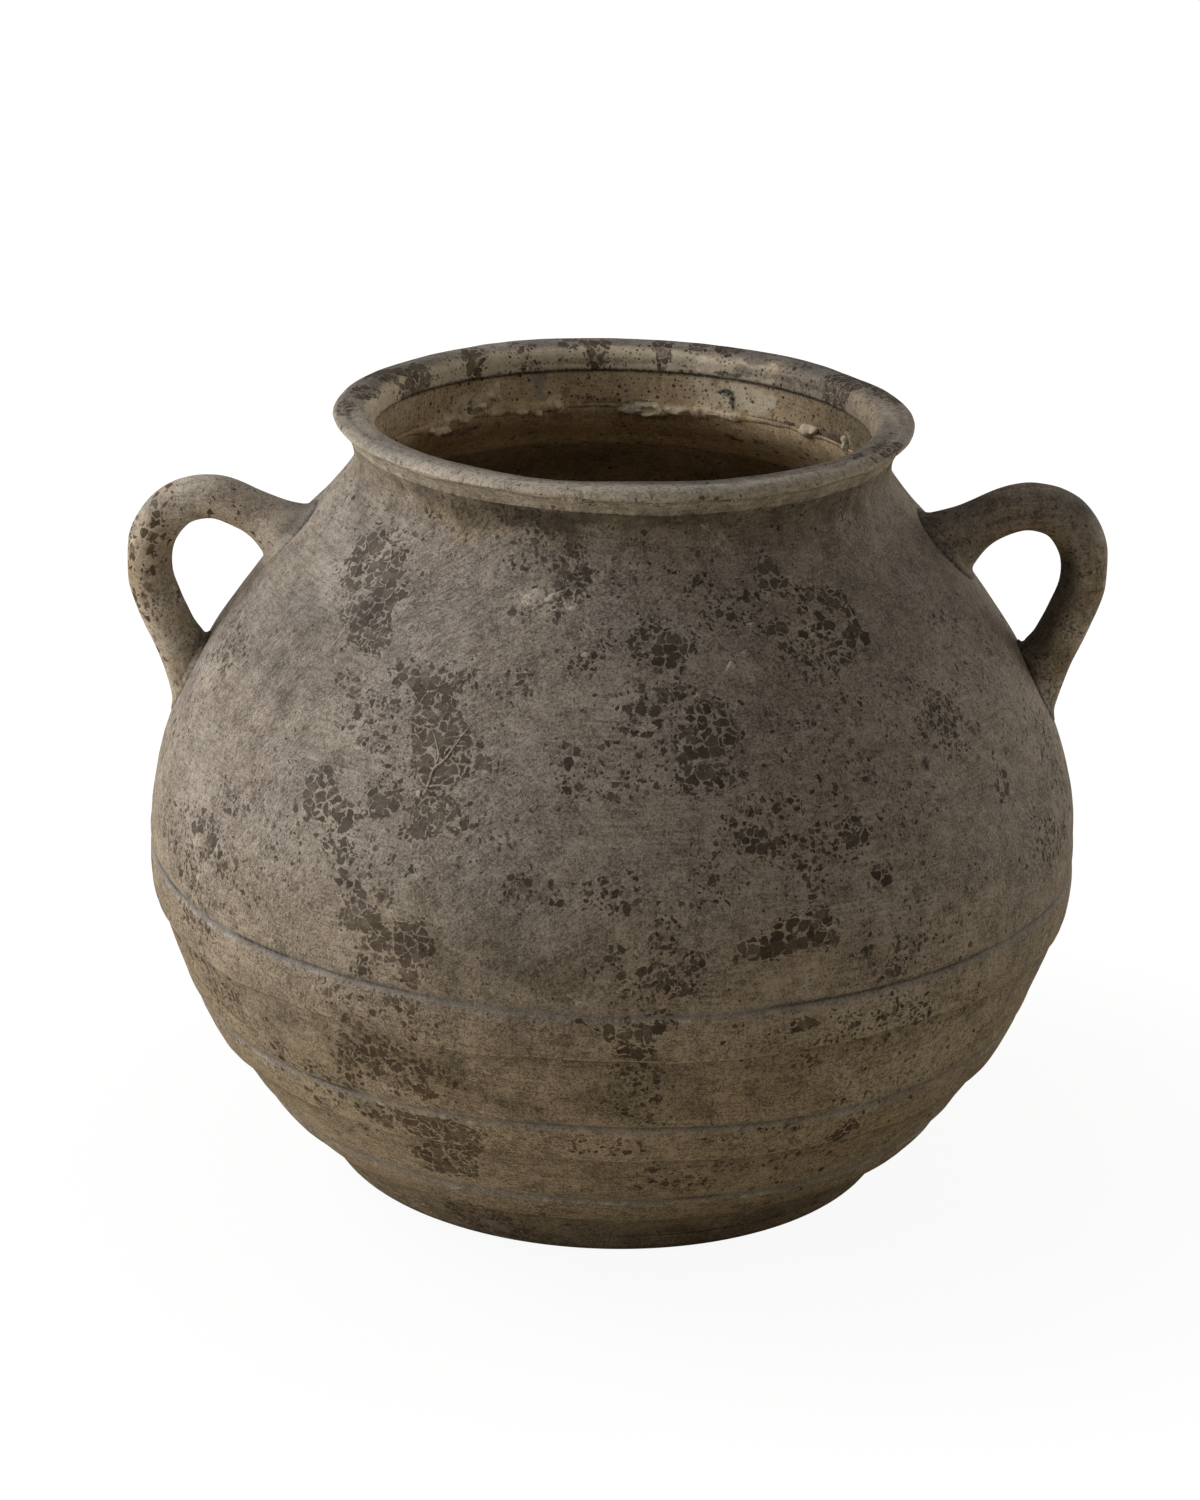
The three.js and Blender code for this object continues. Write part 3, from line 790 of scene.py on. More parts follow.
# Dark marks inside the neck: soot and slots, and painted shadow under the seam coil
INNER_SOOT_AND_SHADE = [
    (155.5, 319.3, 4, 1.3, 1.0), (153.3, 315, 0.9, 3.2, 0.9), (155, 328, 5, 1.0, 0.9), (-131, 303.6, 9, 0.9, 0.8),
    (171, 304.9, 13, 1.0, 0.8), (-142, 312, 3, 1.1, 0.8), (-141, 315.5, 1.1, 2.2, 0.6),
    (-156.5, 307.3, 1.3, 1.2, 0.9), (-161.5, 307, 1.4, 1.3, 0.95), (-150.5, 308, 1.5, 0.9, 0.8),
    (-176, 309, 16, 3, 0.6), (-172, 330, 30, 1.2, 0.4), (142, 308.5, 9, 2.4, 0.5), (137, 311, 3, 0.8, 0.9),
    (122, 311, 6, 2.2, 0.5), (114.5, 310.8, 1, 2.8, 0.95), (-166, 314, 1.4, 2.5, 0.5), (-169, 313, 1, 1, 0.8),
    (135, 331, 26, 2, 0.4),
]
DRIP = [(-159.2, 328, 3.6, 5, 1.0), (-159.5, 319, 2.9, 8, 1.0), (-160, 311, 1.9, 4, 0.95)]
# Dark dashes on the inner wall, and painted shadow under the seam coil
INNER_DASHES = [
    (153, 296.4, 3, 0.8, 0.9), (154.5, 298.3, 2.2, 0.7, 0.7), (147, 297.8, 1.8, 0.8, 0.9),
    (144, 293.4, 1.3, 0.8, 0.9), (136.5, 293.4, 1.8, 0.9, 0.9), (131, 296, 1.2, 0.8, 0.8),
    (124.3, 303.9, 1.2, 0.8, 0.8), (177, 288, 1, 0.8, 0.8), (-176, 283, 0.9, 0.8, 0.8), (171, 303.6, 15, 1.6, 0.5),
    (-140, 302.5, 14, 2, 0.5), (-172, 304.5, 24, 2, 0.4),
]
INNER_RUST = [(-178.5, 276.4, 5, 2, 1.0), (170, 274.5, 6, 1.6, 1.0), (-172, 277, 8, 1.2, 0.6)]
# The inside is painted darker below the first height, as shade, and finely divided above the second
INNER_SHADE_HEIGHT = 288
INNER_DETAIL = 262


def wall_piece(name, low, high):
    azimuth = azimuths(WALL_COLUMNS)
    level = row_heights(low, high)[None, :]
    height = followed(azimuth, level)
    out = np.zeros(height.shape)
    for strap in STRAPS.values():
        over = level - strap["high"]
        pressed = 0.5 + 0.5 * crease_dark(azimuth, strap)
        out = out - CREASE_DEPTH * pressed * hump(over, CREASE_WIDTH)
        out = out + SWELLING * hump(over - SWELLING_AT, SWELLING_WIDTH) * (over > -1)
    outer = on_wall(azimuth, height, out)
    marks = outside_marks(outer)
    # Painted shade in the creases over the straps, and painted shadow under their lower edges
    for strap in STRAPS.values():
        crease_marks(azimuth, strap, level - strap["high"], outer, marks)
        under_marks(azimuth, strap, strap["low"] - level, marks)

    inner_level = np.linspace(high, low, max(4, int((high - low) / 5)))
    if high >= NECK_JOIN:
        inner_level = np.concatenate([np.arange(high, INNER_DETAIL, -1.0), np.linspace(INNER_DETAIL, low, 16)])
    inner_level = inner_level[None, :]
    inner_height = followed(azimuth, inner_level)
    depth = WALL - 0.8 * lump_field(turned(azimuth, wall_radius(inner_height), inner_height))
    radial, upright = wall_normal(inner_height)
    near = smooth(inner_level, NECK_JOIN - 12, NECK_JOIN)
    radius = (wall_radius(inner_height) - depth * radial) * (1 - near) + COLLAR_RADIUS * near
    inner = turned(azimuth, np.maximum(radius, COLLAR_RADIUS), inner_height - depth * upright * (1 - near))
    shade_line = INNER_SHADE_HEIGHT + 1.6 * slow_field(inner) + 0.5 * edge_field(inner)
    # The inside is painted shade below the shade line and on the right
    build_wall(name, outer, inner, body_clay, marks, {
        "inner": 1.0,
        "blister": 0.05,
        "smoke": np.maximum(0.6 * smooth(shade_line - inner[..., 2], -0.8, 1.2), 0.3 * right_side(inner)),
        "soot": inner_patches(INNER_DASHES, inner),
        "rust": inner_patches(INNER_RUST, inner),
    })


wall_piece("foot_section", SLAB, FOOT_JOIN)
wall_piece("lower_section", FOOT_JOIN, LOWER_JOIN)
wall_piece("middle_section", LOWER_JOIN, BELLY_JOIN)
wall_piece("shoulder_section", BELLY_JOIN, NECK_JOIN)


def base_slab():
    azimuth = azimuths(WALL_COLUMNS)
    foot = OUTLINE[0][0]
    corner = (wall_radius(FOOT_ROUNDING), FOOT_ROUNDING)
    edge = bezier([(foot - FOOT_ROUNDING, 0), (foot, 0), corner], 7)
    rise = np.linspace(FOOT_ROUNDING, SLAB, 5)[1:]
    radius = np.concatenate([[3, 40, 80, 105, foot - FOOT_ROUNDING], edge[:, 0], wall_radius(rise)])
    height = np.concatenate([[0.6, 0.5, 0.3, 0.05, 0], edge[:, 1], rise])
    inner_radius = wall_radius(SLAB) - WALL
    floor_radius = np.array([inner_radius, inner_radius - 3, inner_radius - 8, 70, 35, 3])
    floor_height = np.array([SLAB, SLAB + 0.2, SLAB, SLAB - 0.5, SLAB - 1, SLAB - 1])
    grid = turned(azimuth, np.concatenate([radius, floor_radius]), np.concatenate([height, floor_height]))
    columns, rows = grid.shape[:2]
    marks = outside_marks(grid)
    marks["inner"] = np.broadcast_to(np.arange(rows) >= len(radius), (columns, rows))
    stain(marks, "soot", 0.35 * (grid[..., 2] < 4))
    build("base_slab", grid, capped_faces(columns, rows), body_clay, marks)


base_slab()


def strap_ring(name, strap):
    azimuth = azimuths(STRAP_COLUMNS)
    width = strap["high"] - strap["low"]
    front = [(0.5, -0.3), (0.25, 0.4), (0.0, 1.0), (0.0, 1.4), (0.25, 1.7), (0.7, 1.85), (1.5, 1.9)]
    middle = [(u, STRAP_LIFT - 1.5 * (u / width) ** 1.6) for u in np.linspace(3, width - 5, max(4, int(width / 2)))]
    top = [(width - 4, 0.82), (width - 3.2, 0.7), (width - 2.4, 0.55), (width - 1.7, 0.38), (width - 1.1, 0.2),
           (width - 0.6, 0.0), (width - 0.2, -0.25), (width, -0.7), (width - 3, -0.9), (width / 2, -0.9), (3, -0.9)]
    section = np.array(front + middle + top)
    up, out = section[None, :, 0], section[None, :, 1]
    swayed = sway(strap, azimuth)
    guide = turned(azimuth, CREASE_RADIUS, strap["low"])
    ragged = (0.55 * lump_field(guide) + 0.4 * edge_field(guide)) * np.clip(1 - up / 6, 0, 1)
    height = strap["low"] + up + swayed + ragged
    thick = 1 + 0.12 * lump_field(guide + 400)
    points = on_wall(azimuth, height, np.where(out > 0, out * thick, out))
    marks = outside_marks(points)
    crease_marks(azimuth, strap, up - width, points, marks)
    # Along the strap's lower lip, a pale ochre line with a painted highlight; painted shade just under the lip
    edge = hump(up - 0.4, 0.6) * (out > 0.5) * (0.5 + 0.5 * smooth(crease_field(points + 90), -0.6, 0.6))
    stain(marks, "ochre", edge)
    stain(marks, "dust", 0.7 * edge)
    stain(marks, "grime_and_shade", 0.8 * (out < 1.0) * (up < 1))
    build_ring(name, points, strap_clay, marks)


for strap_item in STRAPS.items():
    strap_ring(*strap_item)


def neck_collar():
    azimuth = azimuths(NECK_COLUMNS)
    outer = on_wall(azimuth, fine_ends(np.linspace(NECK_JOIN, RIM_JOIN, 18)))
    inner_height = np.append(RIM_JOIN - np.array([0, 0.4, 0.9, 1.6]), np.linspace(RIM_JOIN - 2.3, NECK_JOIN, 20))
    plain = turned(azimuth, COLLAR_RADIUS, inner_height)
    worn = 0.5 * lump_field(plain) + 0.25 * edge_field(plain) + 0.12 * fleck_field(plain)
    groove = GROOVE_DEPTH * hump(RIM_JOIN - inner_height, GROOVE_WIDTH)
    inner = turned(azimuth, COLLAR_RADIUS + 0.3 + np.abs(worn) + groove, inner_height)
    # A painted shadow in the groove under the rim; painted shade on the right of the inside, and pale clay on the
    # left as painted light
    seam = hump(RIM_JOIN - inner_height, 1.05)
    faint = (1 - right_side(inner)) * (0.2 + 0.2 * smooth(lump_field(inner) + edge_field(inner), -0.3, 1.2))
    build_wall("neck_collar", outer, inner, neck_clay, outside_marks(outer), {
        "soot": np.maximum(inner_patches(INNER_SOOT_AND_SHADE, inner), seam),
        "haze": inner_patches(DRIP, inner),
        "grime_and_shade": 0.3 * smooth(slow_field(inner) + lump_field(inner + 7), -0.5, 1.2),
        "smoke": 0.95 * right_side(inner),
        "pits": 1.0,
        "cream": np.clip(inner_patches(CREAM, inner) + faint, 0, 1),
        "inner": 0.9,
    })


neck_collar()


# Stains of the rim: azimuth, radius of the middle, half width and half depth, strength
RIM_BLISTERS = [
    (-142, 112, 6.4, 7, 0.9), (-124, 109, 7.7, 6.7, 0.9), (-115, 111.6, 14, 7, 0.85), (-99, 112.1, 12.9, 5.7, 0.7),
    (-141, 109, 5.8, 7, 0.8), (-167, 115.4, 5.5, 5.3, 0.9), (-174, 109.3, 5.9, 7, 0.85), (171, 111.7, 4.1, 7, 0.9),
    (163, 115, 6.1, 7, 0.9), (156, 114.9, 6.1, 7, 0.85), (148, 115.5, 2.3, 3.2, 0.9), (121, 113.5, 11.6, 7, 1),
    (117, 120.6, 12, 7, 0.95), (104, 117.7, 12.7, 5.5, 0.8), (67, 119.3, 10.5, 6.9, 0.8),
    (56, 116.9, 7.1, 5.5, 0.6), (-155, 109, 5.8, 6.7, 0.4), (137, 112.4, 5.8, 6.6, 0.4),
    (-84, 118.3, 12.7, 3.4, 0.6),
]
# How dark the rim's top and its inner face are painted, as shade, round the vase from the front
SHADED_AT = [-180, -150, -110, -85, -45, 0, 25, 60, 82, 100, 115, 150, 180]
SHADED_TOP = [0.5, 0.38, 0.68, 0.6, 0.05, 0.0, 0.1, 0.2, 0.1, 0.4, 0.6, 0.65, 0.5]
SHADED_THROAT = [0, 0, 0, 0, 0.4, 0.9, 0.95, 0.8, 0.6, 0.6, 0.55, 0.3, 0]


def rim_section():
    """The rim's outline, up the flare, over the bead and down the throat, and how many points the flare has."""
    flare_height = np.append(RIM_JOIN + np.array([0, 0.25, 0.6]), np.linspace(RIM_JOIN + 1, BEAD_HEIGHT, 20))
    flare = np.stack([wall_radius(flare_height), flare_height], axis=1)
    over = bezier([flare[-1], (BEAD_RADIUS - 0.2, VASE_HEIGHT - 1.6), (BEAD_RADIUS - 3.4, VASE_HEIGHT),
                   (CREST_RADIUS, VASE_HEIGHT)], 20)
    down = bezier([over[-1], (THROAT_RADIUS + 0.6, VASE_HEIGHT - 0.6), (THROAT_RADIUS, THROAT_TOP)], 18)
    low = [(THROAT_RADIUS, z) for z in np.linspace(THROAT_TOP - 0.8, RIM_JOIN + 1.0, 8)]
    low += [(THROAT_RADIUS + 0.25, RIM_JOIN + 0.35), (THROAT_RADIUS + 0.9, RIM_JOIN), (COLLAR_RADIUS + 1.5, RIM_JOIN)]
    return np.concatenate([flare, over, down, np.array(low)]), len(flare)


def rim_ring():
    azimuth = azimuths(RIM_COLUMNS)
    section, flare_points = rim_section()
    along = unit(np.gradient(section, axis=0))
    normal = np.stack([along[:, 1], -along[:, 0]], axis=1)
    plain = turned(azimuth, section[None, :, 0], section[None, :, 1])
    far = lengths(section)[None, :]
    flare_end = far[0, flare_points - 1]
    waver = 0.3 * slow_field(plain) + 0.22 * lump_field(plain) + 0.05 * grain_field(plain)
    crest = hump(section[None, :, 1] - VASE_HEIGHT, 3.0)
    fixed = smooth(far, 0, 3) * smooth(far[0, -1] - far, 0, 4)
    out = fixed * (waver - 0.3 * crest - 0.1) + (1 - smooth(far, 0, 3)) * unevenness(plain)
    # The lip's lower edge, a small ragged ledge under the bead
    ledge_at = flare_end - 1.6 + 0.8 * edge_field(turned(azimuth, 120.0, 333.0)) + 0.5 * lump_field(plain[:, :1])
    out = out - LEDGE_DEPTH * (1 - smooth(far, ledge_at - 0.5, ledge_at + 0.3)) * fixed
    crease_at = flare_end + RING_CREASE_AT + 0.5 * lump_field(plain[:, :1] + 50)
    out = out - RING_CREASE_DEPTH * hump(far - crease_at, RING_CREASE_WIDTH)
    radius = section[None, :, 0] + out * normal[None, :, 0]
    height = np.minimum(section[None, :, 1] + out * normal[None, :, 1], VASE_HEIGHT)
    points = turned(azimuth, radius, height)

    top = smooth(far, flare_end - 2, flare_end + 3)
    marks = {"blister": 0.06}
    edge = 0.35 * edge_field(points)
    for middle, level, half_width, half_depth, strength in RIM_BLISTERS:
        across = turn_from(azimuth, middle) * level
        distance = np.hypot(across / half_width, (radius - level) / half_depth)
        stain(marks, "blister", strength * top * smooth(1.4 - distance + edge, 0, 0.6))
    # Painted shadow under the lip's ledge and in the groove at the foot of the throat, and painted shade in the ring
    # crease
    under = hump(far - ledge_at + 1.0, 1.4)
    marks["soot"] = np.maximum(0.45 * under, 0.9 * hump(far - far[0, -3], 1.0))
    stain(marks, "soot", inner_patches(INNER_SOOT_AND_SHADE, points) * smooth(-radius, -110, -107))
    stain(marks, "soot", 0.25 * hump(far - crease_at, 1.2))
    marks["rust"] = 0.5 * (1 - smooth(far, ledge_at - 1, ledge_at)) * smooth(lump_field(points), -0.4, 0.7)
    marks["dust"] = 0.5 * hump(far - ledge_at - 0.3, 0.7) * smooth(fleck_field(points), -0.2, 0.8)
    # Painted light: the lip's face towards the front and the throat on the lit side are made paler
    facing = smooth(np.cos(azimuth), 0.35, 0.9) * smooth(far, ledge_at - 0.3, ledge_at + 0.5) * (radius > 112)
    throat = smooth(-radius, -110.5, -107.5) * (far > flare_end)
    towards = smooth(np.cos(azimuth), -0.2, 0.3)
    inward = smooth(-(radius - 8 * towards), -110.5, -106.5) * (far > flare_end)
    turned_by = np.degrees(turn_from(azimuth, 0))
    stain(marks, "dust", facing * (1 - inward))
    lit = np.interp(turned_by, [-180, -95, -60, 150, 170, 180], [1, 1, 0, 0, 1, 1])
    stain(marks, "dust", throat * lit)
    # Painted shade by azimuth over the top and the inner face
    marks["smoke"] = np.interp(turned_by, SHADED_AT, SHADED_TOP) * (1 - inward) * top
    marks["smoke"] = marks["smoke"] + np.interp(turned_by, SHADED_AT, SHADED_THROAT) * inward
    marks["inner"] = 0.45 * throat
    pale = inner_patches([(150, 330.5, 22, 4, 0.9), (-146, 329, 12, 2.4, 0.7)], points) * (radius < 111)
    marks["cream"] = 0.6 * pale + 0.9 * throat * lit
    marks["smoke"] = marks["smoke"] * (1 - 0.6 * pale)
    veil = smooth(slow_field(points + 40) + 0.5 * edge_field(points), -0.4, 0.9)
    marks["haze"] = 0.5 * top * (1 - 0.8 * throat * lit) * veil
    stain(marks, "haze", inner_patches([(-160, 333, 3.5, 6, 0.9)], points) * (far > flare_end + 6))
    # Painted shade on the flare under the lip, with grime
    marks["grime_and_shade"] = 0.55 * (1 - smooth(far, 0, ledge_at)) * (0.6 + 0.4 * smooth(lump_field(points), -0.5, 0.7))
    marks["pits"] = 0.8 * (radius < 112) * (far > flare_end)
    build_ring("rim_ring", points, rim_clay, marks, (points.shape[1] - 1,))


rim_ring()


# Where the squeezed-out clay stands up most: azimuth and half width, in degrees
RIDGES = [(-131, 9), (-158, 9), (170, 9), (157, 6), (0, 50)]


def seam_coil():
    """The ragged clay squeezed out inside the neck."""
    azimuth = azimuths(NECK_COLUMNS)
    guide = turned(azimuth, COLLAR_RADIUS, NECK_JOIN)
    ragged = 0.5 * np.sin(5 * azimuth + 1) + 0.35 * np.sin(11 * azimuth) + 0.3 * np.sin(17 * azimuth + 2)
    ragged = ragged + 0.5 * edge_field(guide) + 0.35 * fleck_field(guide)
    ridges = sum(hump(turn_from(azimuth, middle), math.radians(width)) for middle, width in RIDGES)
    full = 0.28 + 0.72 * np.clip(ridges, 0, 1)
    reach = np.clip((1.6 + 0.9 * ragged) * full, 0.4, 3.2)
    drop = np.clip((3.0 + 1.6 * ragged) * full, 0.8, 6)
    rise = np.clip((2.6 + 1.4 * lump_field(guide + 33)) * full, 0.6, 4.4)
    turn = np.linspace(0, math.pi, 14)[None, :]
    radius = COLLAR_RADIUS + 0.9 - (reach + 0.9) * np.sin(turn) ** 0.8
    height = NECK_JOIN - 1 + np.where(np.cos(turn) > 0, rise, drop) * np.cos(turn)
    radius = np.pad(radius, ((0, 0), (1, 1)), constant_values=COLLAR_RADIUS + 1.6)
    height = np.pad(height, ((0, 0), (1, 1)), mode="edge")
    points = turned(azimuth, radius, height)
    rough = 0.22 * fleck_field(points) + 0.2 * grain_field(points)
    points = turned(azimuth, radius - np.clip(rough, -0.3, 0.4) * (radius < COLLAR_RADIUS), height)
    # The right of the coil is painted shade
    build_ring("neck_seam_coil", points, squeezed_clay, {
        "cream": np.clip(inner_patches(CREAM, points) + 0.3 * full * smooth(ragged, -0.4, 0.8), 0, 1),
        "inner": 0.8,
        "soot": inner_patches(INNER_SOOT_AND_SHADE, points),
        "pits": 0.7,
        "smoke": 0.85 * right_side(points),
    }, outward=False)


seam_coil()

# The handles: side, half the roll's thickness, and the roll's middle line as radius and height
HANDLES = {
    "handle_left": (-1, 9.6, [(126, 271), (144, 280), (160, 288.4), (174.7, 293.4), (190, 289.6), (200, 276.5),
                              (202, 261), (197.9, 246.4), (190, 228.5), (182, 209), (175.5, 194)]),
    "handle_right": (1, 10.1, [(129, 274), (147, 287.4), (162.9, 296.4), (176, 298.9), (189, 294.4), (197.6, 281.6),
                               (198.9, 266), (193.6, 249.5), (186.6, 233.5), (180, 216), (173, 200)]),
}
ROLL_EXTRA_WIDTH = 1
UPPER_SPREAD = 9
LOWER_SPREAD = 4
ROOT_SHARE = 0.17
ROOT_DEPTH = 3
ROLL_SIDES = 72
ROLL_STEPS = 240
UPPER_FILLET = 3
LOWER_FILLET = 2.5
# Radius and height of a place amid each ring
RING_MIDDLE = (170, 245)


def clear_of_wall(radius, height):
    """How far a point stands off the wall, along the wall's outward direction."""
    guess = height
    for _ in range(4):
        radial, upright = wall_normal(guess)
        away = (radius - wall_radius(guess)) * radial + (height - guess) * upright
        guess = np.clip(height - away * upright, 0, 333)
    return away, guess


def handle_line(route):
    """The middle line of the roll where it is out of the wall, its directions and its lengths."""
    line = catmull_rom(np.array(route, float), 80)
    away, _ = clear_of_wall(line[:, 0], line[:, 1])
    out = np.where(away > -ROOT_DEPTH)[0]
    line = line[out[0]:out[-1] + 1]
    length = lengths(line)
    even = np.linspace(0, length[-1], ROLL_STEPS)
    line = np.stack([np.interp(even, length, line[:, i]) for i in (0, 1)], axis=1)
    return line, unit(np.gradient(line, axis=0)), even


def handle_marks(points, outward, share, left):
    """The stains of the left handle or the right one, with painted shade at the roots and on the right one and
    painted light on the left one's outer face. Outward is 1 outside the ring and -1 in the finger gap.
    """
    right = 1 - left
    gap, _ = clear_of_wall(np.hypot(points[..., 0], points[..., 1]), points[..., 2])
    edge = edge_field(points)
    # Both grow along the roll, from its upper root to its lower one
    lower = smooth(share, 0.5, 0.7)
    falling = smooth(share, 0.42, 0.58)
    seam = hump(gap, 2.4) * lower
    sideways = np.abs(points[..., 0]) - 192
    worn = left * smooth(sideways + 5 * edge, 1, 8) * smooth(points[..., 2] + 8 * edge, 215, 235)
    root = hump(gap, 7)
    flecks = smooth(fleck_field(points) + 0.5 * edge, -0.1, 0.7)
    peppered = smooth(fleck_field(points + 3) + 0.7 * edge_field(points + 15), -0.4, 0.6)
    bulge = falling * smooth(outward, -0.45, 0.2)
    midline = hump(outward - 0.08 - 0.12 * lump_field(points + 5), 0.2) * (1 - falling)
    spread = smooth(edge_field(points + 5) + 0.6 * lump_field(points + 21), -0.6, 0.7)
    under = smooth(-outward, 0.0, 0.75)
    fallen = 0.9 * falling * smooth(outward, -0.6, 0.2)
    veil = 0.6 * smooth(outward, 0.0, 0.8) * (1 - falling) * smooth(lump_field(points + 77), -0.5, 0.7)
    # Painted shade darkens the roots and the right handle; painted light makes the left handle's outer face paler
    return {
        "blister": np.maximum(0.06 + 0.16 * smooth(edge_field(points + 31) + 0.5 * lump_field(points), 0.2, 1.2),
                              0.6 * worn),
        "rust": left * 0.9 * worn + right * 0.2,
        "dust": np.maximum(np.maximum(0.5 * seam, right * root) * flecks,
                           (0.35 + 0.65 * peppered) * np.maximum(smooth(outward, 0.1, 0.8), right * bulge)
                           * smooth(points[..., 2], 288 + 14 * right, 276 + 10 * right))
        + left * (0.4 * smooth(outward, 0.2, 0.8) + 0.4 * worn),
        "soot": np.maximum(0.75 * hump(gap - 0.3, 0.9) * np.maximum(lower, 0.9 * right),
                           0.3 * smooth(edge_field(points + 9) + 0.4 * lump_field(points + 9), 0.4, 1.2)
                           + right * 0.55 * midline * (1 - 0.6 * peppered)),
        "ochre": np.maximum(0.9 * spread * np.maximum(under * (1 - falling), fallen), left * under * spread)
        + 0.8 * worn,
        "grime_and_shade": np.maximum(0.6 * hump(gap, 9) * lower, 0.3 * smooth(slow_field(points + 11), 0, 1.2))
        + left * 0.25 * lower,
        "haze": np.maximum(veil, 0.5 * hump(gap, 4) * (1 - lower)),
        "smoke": np.maximum(root * (1 - lower) * (0.25 + 0.5 * smooth(outward, -0.3, 0.5)),
                            right * (0.9 * smooth(-outward, 0.1, 0.7) * falling
                                     + 0.4 * smooth(outward, 0.1, 0.7) * (1 - falling))),
    }


def ring_handle(name, side, half_thickness, route):
    """A roll swept along its line, whose ends spread and turn to lie on the wall."""
    left = side < 0
    line, way, even = handle_line(route)
    away, level = clear_of_wall(line[:, 0], line[:, 1])
    radial, upright = wall_normal(level)
    along = np.stack([-upright, radial], axis=1)
    across_way = np.stack([-way[:, 1], way[:, 0]], axis=1)
    along *= np.sign(np.sum(along * across_way, axis=1))[:, None]
    near = (1 - smooth(away, 2, 22))[:, None]
    plane = unit(across_way * (1 - near) + along * near)
    slant = np.clip(np.sum(plane * across_way, axis=1), 0.45, 1)
    share = even / even[-1]
    full = UPPER_SPREAD * np.clip(1 - share / ROOT_SHARE, 0, 1) ** 2
    full = full + LOWER_SPREAD * np.clip(1 - (1 - share) / ROOT_SHARE, 0, 1) ** 2
    angle = np.linspace(0, TURN, ROLL_SIDES, endpoint=False)[None, :]
    wide = (half_thickness + 0.75 * full) / slant
    deep = half_thickness + ROLL_EXTRA_WIDTH + 0.6 * full
    fillet = np.where(share < 0.5, UPPER_FILLET, LOWER_FILLET)
    fillet = fillet - np.sqrt(np.clip(fillet**2 - np.clip(fillet - away, 0, fillet) ** 2, 0, None))
    wide = (wide + fillet)[:, None]
    deep = (deep + fillet)[:, None]
    radius = line[:, :1] + plane[:, :1] * wide * np.cos(angle)
    height = line[:, 1:] + plane[:, 1:] * wide * np.cos(angle)
    depth = deep * np.sin(angle)
    points = np.stack([side * radius, depth, height], axis=-1)
    middle = np.stack([side * line[:, 0], 0 * line[:, 0], line[:, 1]], axis=-1)[:, None, :]
    lumps = 0.5 * slow_field(points + 60) + 0.3 * lump_field(points + 60) + 0.06 * grain_field(points)
    swell = 1 + (lumps + 0.25) / 12
    points = middle + (points - middle) * swell[..., None]
    # The outermost millimetre is pressed together, so that it stays within the part's box
    reach = (-cad_low.x if left else cad_high.x) / MM - 0.05
    proud = np.abs(points[..., 0]) - (reach - 1)
    kept = reach - 1 + np.where(proud > 0, 1 - np.exp(-np.clip(proud, 0, None)), proud)
    points[..., 0] = side * kept

    outward = np.cos(angle) * np.sign(np.sum(across_way * (line - RING_MIDDLE), axis=1))[:, None]
    steps, sides = points.shape[:2]
    faces = [tuple(f) for f in ring_faces(steps, sides, around=False, outward=left)]
    ends = [tuple(range(sides)), tuple(range((steps - 1) * sides, steps * sides))[::-1]]
    faces += ends if left else [end[::-1] for end in ends]
    marks = handle_marks(points, outward, share[:, None], float(left))
    build(name, points, faces, left_clay if left else right_clay, marks)


for handle_name, handle_form in HANDLES.items():
    ring_handle(handle_name, *handle_form)


def along_by(level, up):
    """The height that lies a length further up the wall's outline."""
    return np.interp(along_wall(level) + up, WALL_LENGTH, WALL_LINE[:, 1])


def on_collar(azimuth, height, out=0.0):
    """A point on the inside of the neck, moved inwards."""
    return turned(azimuth, COLLAR_RADIUS - out, height)


def near_place(inside, azimuth, level, across, up, out):
    """A point beside a place on the outer wall or on the collar's inside, in millimetres along the surface."""
    if inside:
        return on_collar(math.radians(azimuth) - across / COLLAR_RADIUS, level + up, out)
    return on_wall(math.radians(azimuth) + across / wall_radius(level), along_by(level, up), out)


SCAB_SIDES = 56
SCAB_RINGS = 9
# How deep the edge and the underside of a scab lie in the surface
SCAB_EDGE = 0.15
SCAB_UNDERSIDE = 1.0


def scab(inside, azimuth, level, half_width, half_height, tilt, thick, ragged):
    """An irregular cake of clay stuck on a surface, as a grid of points from its underside to its top."""
    turn = np.linspace(0, TURN, SCAB_SIDES, endpoint=False)[:, None]
    own = near_place(inside, azimuth, level, half_width * np.cos(turn), half_height * np.sin(turn), 0.0)
    reach = 1 + ragged * (0.6 * edge_field(own) + 0.6 * fleck_field(own) + 0.3 * fleck_field(own * 2.3))
    share = np.concatenate([[0.5, 0.9], np.linspace(1, 0.06, SCAB_RINGS)])[None, :]
    c, s = math.cos(math.radians(tilt)), math.sin(math.radians(tilt))
    x = half_width * share * reach * np.cos(turn)
    y = half_height * share * reach * np.sin(turn)
    across, up = x * c - y * s, x * s + y * c
    flat = near_place(inside, azimuth, level, across, up, 0.0)
    rough = 1 + 0.35 * fleck_field(flat) + 0.25 * fleck_field(flat * 2.1)
    out = thick * np.clip(1 - share**2, 0, 1) ** 0.45 * np.clip(rough, 0.35, 1.6) - SCAB_EDGE
    out[:, :2] = -SCAB_UNDERSIDE
    return near_place(inside, azimuth, level, across, up, out)


